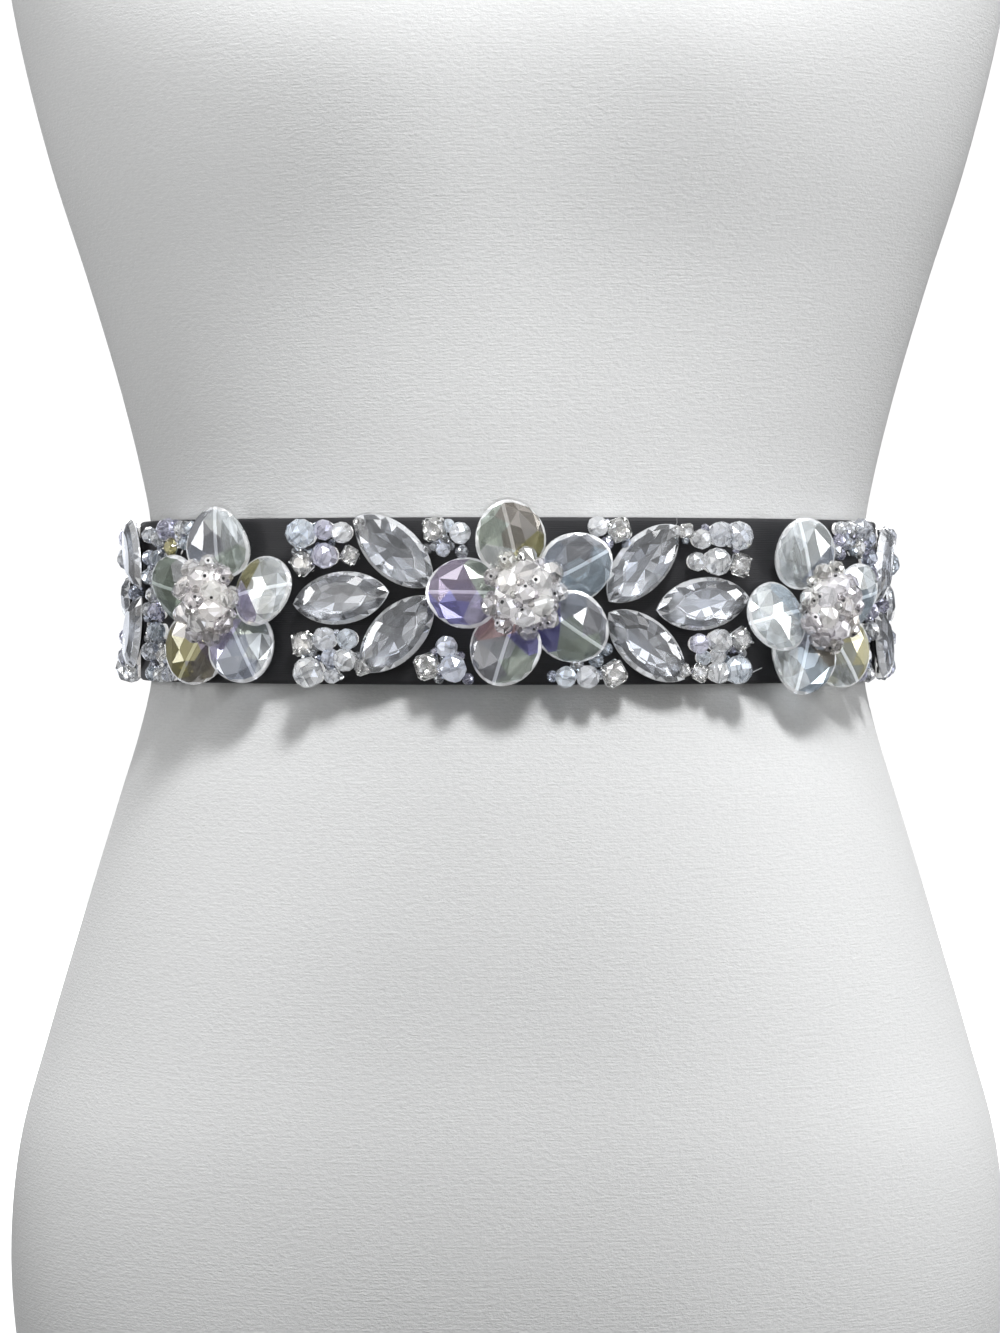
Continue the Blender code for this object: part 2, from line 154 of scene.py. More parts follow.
class Graph:
    """A node tree that nodes are added to."""

    def __init__(self, tree):
        self.tree = tree

    def feed(self, node, inputs):
        for key, value in inputs.items():
            if isinstance(value, Socket):
                self.tree.links.new(value.output, node.inputs[key])
            else:
                node.inputs[key].default_value = value

    def node(self, kind, settings=None, inputs=None, output=0):
        made = self.tree.nodes.new(kind)
        for key, value in (settings or {}).items():
            setattr(made, key, value)
        self.feed(made, inputs or {})
        return Socket(self, made.outputs[output])

    def mix(self, factor, first, second):
        """From one colour to the other as factor goes from 0 to 1."""
        inputs = {"Factor": factor, 6: first, 7: second}
        return self.node("ShaderNodeMix", {"data_type": "RGBA"}, inputs, output=2)

    def noise(self, where, scale, detail=2.0, roughness=0.5):
        inputs = {"Vector": where, "Scale": scale, "Detail": detail, "Roughness": roughness}
        return self.node("ShaderNodeTexNoise", {}, inputs)


class Finish(Graph):
    """One material, with its Principled shader."""

    def __init__(self, name, **constants):
        self.material = bpy.data.materials.new(name)
        self.material.use_nodes = True
        super().__init__(self.material.node_tree)
        self.shader = self.tree.nodes["Principled BSDF"]
        self.feed(self.shader, {key.replace("_", " "): value for key, value in constants.items()})

    def place(self, across=1.0, upward=1.0):
        """Coordinates along and up the cloth, in metres, from the piece's UV map."""
        uv = self.node("ShaderNodeTexCoord", output="UV")
        return self.node("ShaderNodeVectorMath", {"operation": "MULTIPLY"}, {0: uv, 1: (across, upward, 1)})

    def wave(self, where, direction, period, distortion=0.0, jitter=1.0):
        """Soft ridges, one every period metres. At scale 1 the node's own period is pi / 10."""
        settings = {"wave_type": "BANDS", "bands_direction": direction, "wave_profile": "SIN"}
        inputs = {"Vector": where, "Scale": 2 * math.pi / 20 / period, "Distortion": distortion}
        inputs |= {"Detail": 1.0, "Detail Scale": jitter}
        return self.node("ShaderNodeTexWave", settings, inputs, output="Fac")

    def bump(self, height, depth, strength=1.0):
        made = self.node("ShaderNodeBump", {}, {"Height": height, "Distance": depth, "Strength": strength})
        self.feed(self.shader, {"Normal": made})


# %% [markdown]
# ## The finishes
#
# The form is covered in a fine off-white jersey. From a step away its stitches don't show one by one: they
# make a soft grain that is longer across than up, with a slub here and there. So it is noise stretched
# across, over very faint rows, and not a drawn grid. The same height sets the colour: the low parts of the
# knit are painted darker, a painted shade in its hollows, and a soft noise adds random tone. A finish for
# cloth reads the piece's UV map, which is in metres, so two numbers say how many times a metre the noise
# changes along and up the cloth.

# %% Jersey on the form
ROW_PITCH = 0.9 * MM
LOOP_DEPTH = 0.32 * MM
JERSEY_SHADE, JERSEY_WHITE = (0.70, 0.708, 0.712, 1), (0.86, 0.868, 0.873, 1)


def make_jersey():
    finish = Finish("form_jersey", Roughness=0.92, Sheen_Weight=0.2, Sheen_Roughness=0.5)
    cloth = finish.place()
    rows = finish.wave(cloth, "Y", ROW_PITCH, 2.5, 90.0)
    slub = finish.noise(finish.place(230, 900), 1.0, 3.0, 0.65)
    grain = finish.noise(finish.place(900, 1700), 1.0, 2.0, 0.6)
    loops = finish.noise(finish.place(520, 820), 1.0, 2.0, 0.7)
    soft = finish.noise(cloth, 14.0, 2.0, 0.5)
    height = rows * 0.06 + slub * 0.30 + loops * 0.75 + grain * 0.35
    finish.bump(height, LOOP_DEPTH, 0.75)
    # Painted shade: the colour follows the bump's height and is darker where the knit is low; the soft noise
    # adds random tone.
    shade = (height - 0.40) * 0.9 + (soft - 0.5) * 0.35
    colour = finish.mix(shade, JERSEY_SHADE, JERSEY_WHITE)
    finish.feed(finish.shader, {"Base Color": colour})
    return finish.material


# %% [markdown]
# The band is black satin over a stiff core. Satin has long floats that lie one way, so its sheen is
# broken into fine level lines. The black isn't even: it lightens a little where the weave catches light.

# %% Satin of the band
RIB_PITCH = 0.55 * MM
FLOAT_DEPTH = 0.10 * MM
SATIN_BLACK, SATIN_SHEEN = (0.014, 0.014, 0.016, 1), (0.034, 0.034, 0.037, 1)


def make_satin():
    finish = Finish("band_satin", Specular_IOR_Level=0.25)
    cloth = finish.place()
    floats = finish.noise(finish.place(260, 2600), 1.0, 2.0, 0.5)
    ribs = finish.wave(cloth, "Y", RIB_PITCH, 0.6, 20.0)
    patches = finish.noise(cloth, 70.0, 3.0, 0.6)
    finish.bump(floats * 0.6 + ribs * 0.4 + patches * 0.8, FLOAT_DEPTH, 0.7)
    colour = finish.mix(patches * 0.6 + floats * 0.4, SATIN_BLACK, SATIN_SHEEN)
    finish.feed(finish.shader, {"Base Color": colour, "Roughness": floats * 0.2 + 0.5})
    return finish.material


# %% [markdown]
# Cut glass shows what is round it through every facet: some facets turn it back like a mirror, some let
# the dark cloth through. A rainbow coating adds a share of mirror in its own tint. So each facet carries a
# colour, and how much of it is mirror, in one attribute. Colour goes to the glass and alpha to Metallic.
# A share of the glass is plain haze in the same colour, which keeps it pale over a black band.

# %% Crystal, foil, metal and thread
def make_glass(name, ior, clear, roughness=0.03, glow=0.0):
    # A glow above zero is a painted glow: light given off by glass that is no lamp.
    finish = Finish(name, Roughness=roughness, Transmission_Weight=clear, IOR=ior, Emission_Strength=glow)
    colour = finish.node("ShaderNodeAttribute", {"attribute_name": "tint"}, output="Color")
    mirror = finish.node("ShaderNodeAttribute", {"attribute_name": "tint"}, output="Alpha")
    finish.feed(finish.shader, {"Base Color": colour, "Metallic": mirror})
    return finish.material


def make_metal(name, colour, roughness):
    finish = Finish(name, Metallic=1.0)
    where = finish.node("ShaderNodeTexCoord", output="Object")
    scratches = finish.noise(where, 1500.0, 3.0, 0.6)
    finish.feed(finish.shader, {"Base Color": colour, "Roughness": scratches * 0.12 + roughness})
    return finish.material


def make_foil():
    finish = Finish("silver_foil", Metallic=1.0, Roughness=0.22)
    colour = finish.node("ShaderNodeAttribute", {"attribute_name": "tint"}, output="Color")
    finish.feed(finish.shader, {"Base Color": colour})
    return finish.material


def make_white_with_painted_glow(name, colour, strength):
    """Something white in or under the glass, with a faint painted glow that stands in for the light the
    glass gathers on it.
    """
    finish = Finish(name, Roughness=0.6, Base_Color=(0.92, 0.93, 0.95, 1))
    finish.feed(finish.shader, {"Emission Color": colour, "Emission Strength": strength})
    return finish.material


def make_thread():
    finish = Finish("sewing_thread", Roughness=0.35, Transmission_Weight=0.2)
    where = finish.node("ShaderNodeTexCoord", output="Object")
    twist = finish.noise(where, 2500.0, 2.0, 0.5)
    finish.bump(twist, 0.05 * MM)
    # Painted shade: the thread is greyer where the twist's bump is low.
    colour = finish.mix(twist, (0.78, 0.79, 0.82, 1), (0.97, 0.97, 0.99, 1))
    finish.feed(finish.shader, {"Base Color": colour})
    return finish.material


JERSEY = make_jersey()
SATIN = make_satin()
PETAL_GLASS = make_glass("petal_crystal", 1.56, 0.72, 0.09)
# The ground rim glass has a faint painted glow.
RIM_GLASS_WITH_PAINTED_GLOW = make_glass("ground_rim_painted_glow", 1.52, 0.62, 0.15, glow=0.11)
BEAD_GLASS = make_glass("bead_crystal", 1.58, 0.85)
HEART_GLASS = make_glass("heart_crystal", 1.56, 0.75)
STONE_GLASS = make_glass("stone_crystal", 1.58, 0.94, 0.02)
FOIL = make_foil()
SILVER = make_metal("setting_silver", (0.93, 0.93, 0.92, 1), 0.14)
# The canal's white wall has a faint painted glow, standing in for the light the glass gathers on it.
CANAL_WITH_PAINTED_GLOW = make_white_with_painted_glow("ground_canal_painted_glow", (0.9, 0.93, 1.0, 1), 0.55)
# The white net and the hearts' cores have a faint painted glow: light from something that is no lamp.
NET_WITH_PAINTED_GLOW = make_white_with_painted_glow("white_net_painted_glow", (1.0, 0.98, 0.96, 1), 0.38)
THREAD = make_thread()
print("finishes:", ", ".join(m.name for m in bpy.data.materials))


# %% [markdown]
# ## Making a mesh
#
# Two helpers cover most pieces. One turns points and faces into a piece that rides on the part and stands
# for a solid. The other copies small templates, each at its own place, into one mesh, as hundreds of
# beads are quicker that way than as hundreds of objects.

# %% Mesh helpers
def add_piece(name, points, faces, materials, slots=None, nodes=(), slot="", smooth=False, tints=None):
    """A piece that rides on the part. Slots pick a material for each face, and tints a colour."""
    mesh = bpy.data.meshes.new(name)
    mesh.from_pydata([tuple(p) for p in points], [], faces)
    for material in materials:
        mesh.materials.append(material)
    if slots is not None:
        mesh.polygons.foreach_set("material_index", slots)
    if smooth:
        mesh.shade_smooth()
    if tints is not None:
        layer = mesh.color_attributes.new("tint", "FLOAT_COLOR", "CORNER")
        corners = np.repeat(np.asarray(tints, np.float32), [len(face) for face in faces], axis=0)
        layer.data.foreach_set("color", corners.ravel())
    mesh.update()
    piece = bpy.data.objects.new(name, mesh)
    bpy.context.scene.collection.objects.link(piece)
    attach(piece, "root")
    if nodes:
        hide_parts(*nodes)
    return piece


WHITE = (0.95, 0.96, 0.97, 0.0)  # red, green, blue, and the share of mirror


class Pile:
    """Many templates copied into one mesh."""

    def __init__(self):
        self.points, self.faces, self.slots, self.tints = [], [], [], []

    def add(self, template, matrix, slot=0, tint=WHITE):
        """A template is its points, its faces and, if it has two finishes, a slot for each face.

        The tint is one colour, or a function that gives one for the middle of each facet."""
        points, faces, own = template
        start = len(self.points)
        self.points += [matrix @ Vector(p) for p in points]
        self.faces += [[start + i for i in face] for face in faces]
        self.slots += [slot + s for s in own] if own else [slot] * len(faces)
        for face in faces:
            middle = sum((Vector(points[i]) for i in face), Vector()) / len(face)
            self.tints.append(tint(middle) if callable(tint) else tint)

    def piece(self, name, materials, **more):
        return add_piece(name, self.points, self.faces, materials, self.slots, tints=self.tints, **more)


def glitter(colour, draws, darkest=0.6, mirror=(0.15, 0.5)):
    """A tint function: each facet takes the colour a little darker at random, as painted facet shade, and
    its own share of mirror.
    """

    def tint(_):
        shade = draws.uniform(darkest, 1.0)
        return tuple(channel * shade for channel in colour[:3]) + (draws.uniform(*mirror),)

    return tint


def hull(points, split=None):
    """A template: the facets of the smallest solid round the points, with flat ones joined."""
    bm = bmesh.new()
    for point in points:
        bm.verts.new(point)
    made = bmesh.ops.convex_hull(bm, input=bm.verts)
    loose = [v for v in made["geom_interior"] + made["geom_unused"] if isinstance(v, bmesh.types.BMVert)]
    bmesh.ops.delete(bm, geom=list(set(loose)), context="VERTS")
    bmesh.ops.dissolve_limit(bm, angle_limit=math.radians(1.0), verts=bm.verts, edges=bm.edges)
    bmesh.ops.recalc_face_normals(bm, faces=bm.faces)
    bm.verts.index_update()
    corners = [v.co.copy() for v in bm.verts]
    faces = [[v.index for v in face.verts] for face in bm.faces]
    slots = [split(face.calc_center_median()) for face in bm.faces] if split else None
    bm.free()
    return corners, faces, slots


def tube(path, radius, sides=6):
    """A template: a round tube along a path of points, closed at both ends."""
    points, faces = [], []
    for i, here in enumerate(path):
        ahead = (path[min(i + 1, len(path) - 1)] - path[max(i - 1, 0)]).normalized()
        side = ahead.orthogonal().normalized()
        over = ahead.cross(side)
        for k in range(sides):
            angle = 2 * math.pi * k / sides
            points.append(here + (side * math.cos(angle) + over * math.sin(angle)) * radius)
    for i in range(len(path) - 1):
        for k in range(sides):
            j = (k + 1) % sides
            faces.append([i * sides + k, i * sides + j, (i + 1) * sides + j, (i + 1) * sides + k])
    faces.append(list(reversed(range(sides))))
    faces.append([(len(path) - 1) * sides + k for k in range(sides)])
    return points, faces, None


# %% [markdown]
# ## The dress form
#
# A display form is a smooth body without limbs. It is lofted through level sections: each is a rounded
# ellipse with its own half width and depths, read from a smooth curve through a short table. The bust
# is two soft mounds. The same table made the solid; here the loft has many more rings, and the knit.

# %% Sections of the form
FORM_SECTIONS = (
    # up, half_width, front, back, squareness: millimetres from the waist
    (-270.0, 148.0, 99.0, 108.0, 2.25),
    (-235.0, 155.5, 104.0, 118.4, 2.25),
    (-200.0, 157.5, 106.0, 121.2, 2.22),
    (-170.0, 154.5, 105.0, 118.8, 2.20),
    (-137.0, 145.7, 101.5, 111.0, 2.16),
    (-98.0, 134.2, 97.5, 102.0, 2.10),
    (-60.0, 122.6, 91.5, 92.5, 2.04),
    (-41.0, 116.8, 88.0, 88.0, 2.00),
    (-26.0, 113.3, 85.7, 85.7, 2.00),
    (0.0, 112.9, 85.2, 85.2, 2.00),
    (26.0, 113.5, 85.8, 85.8, 2.00),
    (41.0, 116.4, 88.0, 88.3, 2.00),
    (60.0, 121.0, 91.0, 92.0, 2.04),
    (98.0, 132.0, 97.0, 99.5, 2.12),
    (137.0, 144.4, 103.0, 107.0, 2.20),
    (175.0, 154.0, 107.0, 111.0, 2.25),
    (215.0, 161.0, 104.0, 112.0, 2.28),
    (255.0, 167.0, 96.0, 109.0, 2.28),
    (290.0, 169.0, 84.0, 101.0, 2.25),
    (318.0, 161.0, 73.0, 90.0, 2.20),
    (340.0, 138.0, 64.0, 77.0, 2.12),
    (358.0, 104.0, 58.0, 67.0, 2.05),
    (374.0, 74.0, 54.0, 60.0, 2.00),
    (392.0, 59.0, 52.0, 56.0, 2.00),
    (430.0, 55.0, 50.0, 54.0, 2.00),
)
FORM_RINGS = 170
FORM_POINTS = 180
BUST_UP, BUST_ACROSS = 172.0, 68.0
BUST_DEPTH, BUST_SPREAD = 20.0, 44.0
HEM_ROUND = 4.0  # how far the edges of the underside and the neck are rounded


def smooth_columns(rows, at):
    """Every column after the first, read from a smooth curve through the rows."""
    table = np.array(rows, float)
    x, y = table[:, 0], table[:, 1:]
    slope = np.gradient(y, x, axis=0)
    k = np.clip(np.searchsorted(x, at, side="right") - 1, 0, len(x) - 2)
    width = (x[k + 1] - x[k])[:, None]
    t = (at - x[k])[:, None] / width
    rise = y[k] * (1 + 2 * t) * (1 - t) ** 2 + y[k + 1] * t * t * (3 - 2 * t)
    return rise + slope[k] * width * t * (1 - t) ** 2 + slope[k + 1] * width * t * t * (t - 1)


def form_ring(up, half_width, front, back, squareness, inset):
    """One level section, with the bust in front, as an array of points in metres."""
    angle = 2 * math.pi * np.arange(FORM_POINTS) / FORM_POINTS
    s, c = np.sin(angle), np.cos(angle)
    x = half_width * np.sign(s) * np.abs(s) ** (2 / squareness)
    y = -np.where(c > 0, front, back) * np.sign(c) * np.abs(c) ** (2 / squareness)
    for side in (-1, 1):
        away = ((x - side * BUST_ACROSS) ** 2 + (up - BUST_UP) ** 2) / BUST_SPREAD**2
        y -= BUST_DEPTH * np.maximum(c, 0) ** 0.6 * np.exp(-0.5 * away)
    shrink = 1 - inset / half_width
    return np.stack([x * shrink, y * shrink, np.full_like(x, up)], axis=1) * MM + (0, 0, WAIST)


# %% Loft the form
def ring_rows():
    """Heights of the rings and how far each is drawn in, so that both rims are rounded."""
    low, high = FORM_SECTIONS[0][0], FORM_SECTIONS[-1][0]
    quarter = [math.pi / 2 * i / 4 for i in range(5)]
    rim = [(low + HEM_ROUND * (1 - math.cos(a)), HEM_ROUND * (1 - math.sin(a))) for a in quarter]
    side = [(up, 0.0) for up in np.linspace(low + HEM_ROUND, high - HEM_ROUND, FORM_RINGS)[1:-1]]
    return rim + side + [(low + high - up, inset) for up, inset in reversed(rim)]


def uv_from(mesh, places):
    """Writes a UV map in metres from a place for each point of the mesh."""
    layer = mesh.uv_layers.new(name="cloth")
    corners = np.empty(len(mesh.loops), np.int32)
    mesh.loops.foreach_get("vertex_index", corners)
    layer.data.foreach_set("uv", np.asarray(places, np.float32)[corners].ravel())


def make_form():
    rows = ring_rows()
    heights = np.array([up for up, _ in rows])
    sections = smooth_columns(FORM_SECTIONS, heights)
    rings = [form_ring(up, *section, inset) for (up, inset), section in zip(rows, sections)]
    # Each ring is turned to start at the middle of the back, where the knit's coordinates meet in a seam.
    rings = [np.roll(ring, FORM_POINTS // 2, axis=0) for ring in rings]
    points = np.concatenate(rings)
    faces, places = [], []
    for ring in rings:
        step = np.linalg.norm(np.diff(ring, axis=0), axis=1)
        run = np.concatenate([[0], np.cumsum(step)])
        run -= run[FORM_POINTS // 2]
        places += list(zip(run, ring[:, 2]))
    for r in range(len(rings) - 1):
        for i in range(FORM_POINTS):
            j = (i + 1) % FORM_POINTS
            a, b = r * FORM_POINTS, (r + 1) * FORM_POINTS
            faces.append([a + i, a + j, b + j, b + i])
    last = (len(rings) - 1) * FORM_POINTS
    faces.append(list(reversed(range(FORM_POINTS))))
    faces.append([last + i for i in range(FORM_POINTS)])
    look = dict(nodes=["dress_form"], slot="form_jersey", smooth=True)
    piece = add_piece("form_cover", points, faces, [JERSEY], **look)
    uv_from(piece.data, places)
    print("form_cover:", len(faces), "faces")


make_form()

# %% [markdown]
# ## The band
#
# One length of ribbon goes once round the waist and laps at the back. So one cross-section is carried
# along the band's line: its edges are round, where the satin is folded over its core, and its outer face
# swells a little, unevenly, as stiffened cloth does.

# %% Band sizes
WALL = 2.4 * MM
LAP_LENGTH = 45.0 * MM
LAP_RAMP = 32.0 * MM
LAP_GAP = 0.4 * MM
BAND_STEPS = 420
EDGE_ROLL = 1.6 * MM
SWELL = 0.18 * MM
SWELL_WAVES = 6


def lap_lift(along):
    """How far the upper end stands off the lower one, near the lap at the back."""
    start = (GIRTH - LAP_LENGTH) / 2 - LAP_RAMP
    t = min(max((along - start) / LAP_RAMP, 0.0), 1.0)
    return (WALL + LAP_GAP) * t * t * (3 - 2 * t)


def band_section():
    """The strip cut across: how far above its middle, how deep in the wall, and 1 on the outer face."""
    half = BAND_HEIGHT / 2
    turns = [math.pi * i / 8 for i in range(9)]
    flats = [half - EDGE_ROLL * share for share in (2.0, 6.0, 12.0)]
    outer = [(-up, 0.0, 1.0) for up in flats] + [(up, 0.0, 1.0) for up in reversed(flats)]
    radius = WALL / 2
    rim = [(half - radius + radius * math.sin(a), radius - radius * math.cos(a), 0.0) for a in turns]
    inner = [(up, WALL, 0.0) for up in flats] + [(-up, WALL, 0.0) for up in reversed(flats)]
    lower = [(-up, depth, face) for up, depth, face in reversed(rim)]
    return outer + rim + inner + lower


def make_band():
    section = band_section()
    draws = random.Random(4)
    phases = [draws.uniform(0, 2 * math.pi) for _ in range(SWELL_WAVES)]
    points, faces, places = [], [], []
    ends = (GIRTH + LAP_LENGTH) / 2
    for along in np.linspace(-ends, ends, BAND_STEPS + 1):
        for up, depth, outer in section:
            swell = 0.0
            for k, phase in enumerate(phases):
                swell += math.sin(along * (40 + 37 * k) + up * (90 - 55 * k) + phase)
            lift = lap_lift(along) - depth + outer * SWELL * swell / SWELL_WAVES
            points.append(on_band(along, up, lift))
            places.append((along, up if depth < WALL / 2 else 2 * BAND_HEIGHT - up))
    n = len(section)
    for i in range(BAND_STEPS):
        for k in range(n):
            j = (k + 1) % n
            faces.append([i * n + k, (i + 1) * n + k, (i + 1) * n + j, i * n + j])
    faces.append(list(range(n)))
    faces.append([BAND_STEPS * n + k for k in reversed(range(n))])
    look = dict(nodes=["sash_band"], slot="band_satin", smooth=True)
    band = add_piece("satin_band", points, faces, [SATIN], **look)
    uv_from(band.data, places)
    band.data.set_sharp_from_angle(angle=math.radians(60))
    print(f"satin_band: {2 * ends * 1000:.0f} mm long, {len(faces)} faces")


make_band()

# %% [markdown]
# ## Cutting a stone
#
# A cut stone is a few rings of corners, and its facets are what a sheet stretched over them would give,
# which is exactly a convex hull. So a cut is written as rows: how many corners, what share of the
# outline, how high, and whether the row starts half a step round. A flat bead has its table on both sides.

# %% Stone cutting
NAVETTE_FULLNESS = 0.85  # below 1, a pointed oval is fuller towards its tips


def round_outline(length, width, pinch=0.0):
    """A round or egg-shaped girdle. The pinch makes its outer end narrower."""

    def place(turn):
        angle = 2 * math.pi * turn
        return length / 2 * math.cos(angle), width / 2 * (1 - pinch * math.cos(angle)) * math.sin(angle)

    return place


def navette_outline(length, width):
    """A pointed oval, a little fuller towards its tips than two equal arcs."""
    radius = (length**2 + width**2) / (4 * width)
    reach = math.asin(length / 2 / radius)

    def place(turn):
        side = 1 if turn % 1 < 0.5 else -1
        angle = reach * (1 - 4 * (turn % 0.5))
        bulge = max(radius * (math.cos(angle) - 1) / (width / 2) + 1, 0.0) ** NAVETTE_FULLNESS
        return side * radius * math.sin(angle), side * width / 2 * bulge

    return place


def cut(outline, rows, split=None):
    """A stone from rows of (corners, share of the outline, height, start as a share of one step)."""
    points = []
    for corners, share, height, start in rows:
        for i in range(corners):
            x, y = outline((i + start) / corners)
            points.append(Vector((x * share, y * share, height)))
    return hull(points, split)


def mirrored(rows):
    return list(rows) + [(corners, share, -height, start) for corners, share, height, start in rows]


# %% [markdown]
# ## The petals
#
# Each petal is a flat drilled glass bead about 22 mm across, sewn by a thread through its length. Its
# facets are large and few. The drilled hole shows as a bright line: its wall is ground and white, and a
# faint painted glow on it stands in for the light that the glass gathers there. Five petals lean on each
# other round the heart like the blades of a fan. The coating tints each quarter of a petal differently,
# each facet is painted a little darker or lighter at random as painted shade, and its thin ground rim has
# a faint painted glow.

# %% Petal sizes and tints
PETAL_REACH = 17.4
PETAL_LENGTH, PETAL_WIDTH, PETAL_THICKNESS = 22.2, 21.6, 6.2
PETAL_LIFT, PETAL_CUP = 4.95, 7.0
CANAL_RADIUS = 0.55
CANAL_SHARE = 0.99  # the drill line ends just inside the rim

FLOWERS = {
    # name: along, up, petal directions, petal tilts
    "centre": (4.3, 2.1, (28.0, 103.0, 179.0, 252.0, 325.0), (17.0, 15.0, 15.0, 15.0, 17.0)),
    "left": (-91.7, 0.2, (10.0, 88.5, 168.0, 239.0, 304.0), (-17.0, 12.0, -14.0, -15.0, -17.0)),
    "right": (99.5, -1.8, (10.0, 110.5, 190.0, 247.0, 306.0), (15.0, -12.0, 17.0, 18.0, 18.0)),
}
CLEAR = (0.86, 0.90, 0.90)
ICE = (0.70, 0.80, 0.88)
SMOKE = (0.48, 0.49, 0.52)
STEEL = (0.54, 0.58, 0.66)
MOSS = (0.58, 0.65, 0.58)
FOREST = (0.34, 0.40, 0.34)
BROWN = (0.42, 0.39, 0.35)
OLIVE = (0.46, 0.43, 0.22)
LEMON = (0.84, 0.80, 0.50)
MAUVE = (0.46, 0.40, 0.52)
INDIGO = (0.30, 0.29, 0.60)
LILAC = (0.64, 0.61, 0.80)
PINK = (0.80, 0.56, 0.56)
# Four colours for each petal, looking out from the heart: near left, near right, far left, far right
PETAL_TINTS = {
    "centre": (
        (STEEL, ICE, SMOKE, ICE),
        (CLEAR, OLIVE, MOSS, BROWN),
        (LILAC, MOSS, INDIGO, MAUVE),
        (INDIGO, PINK, MOSS, SMOKE),
        (STEEL, INDIGO, SMOKE, MOSS),
    ),
    "left": (
        (OLIVE, LILAC, CLEAR, CLEAR),
        (STEEL, MOSS, SMOKE, CLEAR),
        (MOSS, SMOKE, FOREST, FOREST),
        (MAUVE, BROWN, BROWN, OLIVE),
        (MOSS, LILAC, CLEAR, STEEL),
    ),
    "right": (
        (CLEAR, CLEAR, CLEAR, ICE),
        (CLEAR, STEEL, CLEAR, CLEAR),
        (CLEAR, ICE, CLEAR, CLEAR),
        (BROWN, STEEL, ICE, CLEAR),
        (LEMON, OLIVE, LEMON, CLEAR),
    ),
}
RIM_SHARE = 0.93  # facets further out than this share of the outline belong to the rim
RIM_TINT = (0.95, 0.96, 0.97, 0.3)
NEAR_END = -0.15  # where the near colours change to the far ones, as a share of half the length
# Each facet of a petal is painted a little darker or lighter at random: painted facet shade.
PETAL_SHADES, PETAL_MIRROR = (0.78, 1.04), (0.05, 0.26)
POINTED = ("petal_left_2", "petal_right_4")


def petal_tint(colours, draws):
    """A colour for each facet from where it lies on the petal. The rim is pale and mirrors more."""
    near_left, near_right, far_left, far_right = colours

    def tint(middle):
        x, y = middle.x / (PETAL_LENGTH / 2 * MM), middle.y / (PETAL_WIDTH / 2 * MM)
        if math.hypot(x, y) > RIM_SHARE:
            return RIM_TINT
        left, right = (near_left, near_right) if x < NEAR_END else (far_left, far_right)
        colour = left if y > 0 else right
        shade = draws.uniform(*PETAL_SHADES)
        return tuple(min(channel * shade, 1.0) for channel in colour) + (draws.uniform(*PETAL_MIRROR),)

    return tint


# %% Make the petals
PETAL_ROWS = (
    # corners, share of the outline, share of half the thickness, start
    (6, 0.36, 1.00, 0.0),
    (6, 0.76, 0.70, 0.5),
    (18, 0.94, 0.34, 0.0),
    (36, 1.00, 0.14, 0.0),
)
PLAIN_PINCH, POINTED_PINCH = 0.10, 0.22


def petal_slot(middle):
    """The rim is ground, the rest polished."""
    return 2 if math.hypot(middle.x / PETAL_LENGTH, middle.y / PETAL_WIDTH) > RIM_SHARE / 2 * MM else 0


def petal_template(pinch):
    outline = round_outline(PETAL_LENGTH * MM, PETAL_WIDTH * MM, pinch)
    half = PETAL_THICKNESS / 2 * MM
    rows = [(corners, share, half * height, start) for corners, share, height, start in PETAL_ROWS]
    return cut(outline, mirrored(rows), petal_slot)


def make_petals():
    plain, pointed = petal_template(PLAIN_PINCH), petal_template(POINTED_PINCH)
    reach = PETAL_LENGTH / 2 * MM * CANAL_SHARE
    canal = tube([Vector((-reach, 0, 0)), Vector((reach, 0, 0))], CANAL_RADIUS * MM, 8)
    draws = random.Random(21)
    for flower, (along, up, directions, tilts) in FLOWERS.items():
        rows = zip(directions, tilts, PETAL_TINTS[flower])
        for number, (direction, tilt, tints) in enumerate(rows, 1):
            angle = math.radians(direction)
            x, y = along + PETAL_REACH * math.cos(angle), up + PETAL_REACH * math.sin(angle)
            lean = Matrix.Rotation(-math.radians(PETAL_CUP), 4, "Y")
            lean = lean @ Matrix.Rotation(math.radians(tilt), 4, "X")
            place = seat(x, y, PETAL_LIFT, direction) @ lean
            pile = Pile()
            name = f"petal_{flower}_{number}"
            pile.add(pointed if name in POINTED else plain, place, 0, petal_tint(tints, draws))
            pile.add(canal, place, 1)
            finishes = [PETAL_GLASS, CANAL_WITH_PAINTED_GLOW, RIM_GLASS_WITH_PAINTED_GLOW]
            pile.piece(f"{name}_bead", finishes, nodes=[name], slot="petal_crystal")
    print("petals:", 5 * len(FLOWERS), "each with", len(plain[1]), "facets")


make_petals()

# %% [markdown]
# ## The hearts
#
# The middle of a flower is a mound of clear faceted beads of 4 to 7 mm, each on its own stitch, with
# smaller ones pushed in between, so closely that nothing of the cloth shows. They are laid on a dome in
# rings, each turned its own way so that no two catch the light alike, and a few show the end of their
# hole as a dark plug of the band's satin, a painted shade. A pale core with a faint painted glow fills
# the dome under them.

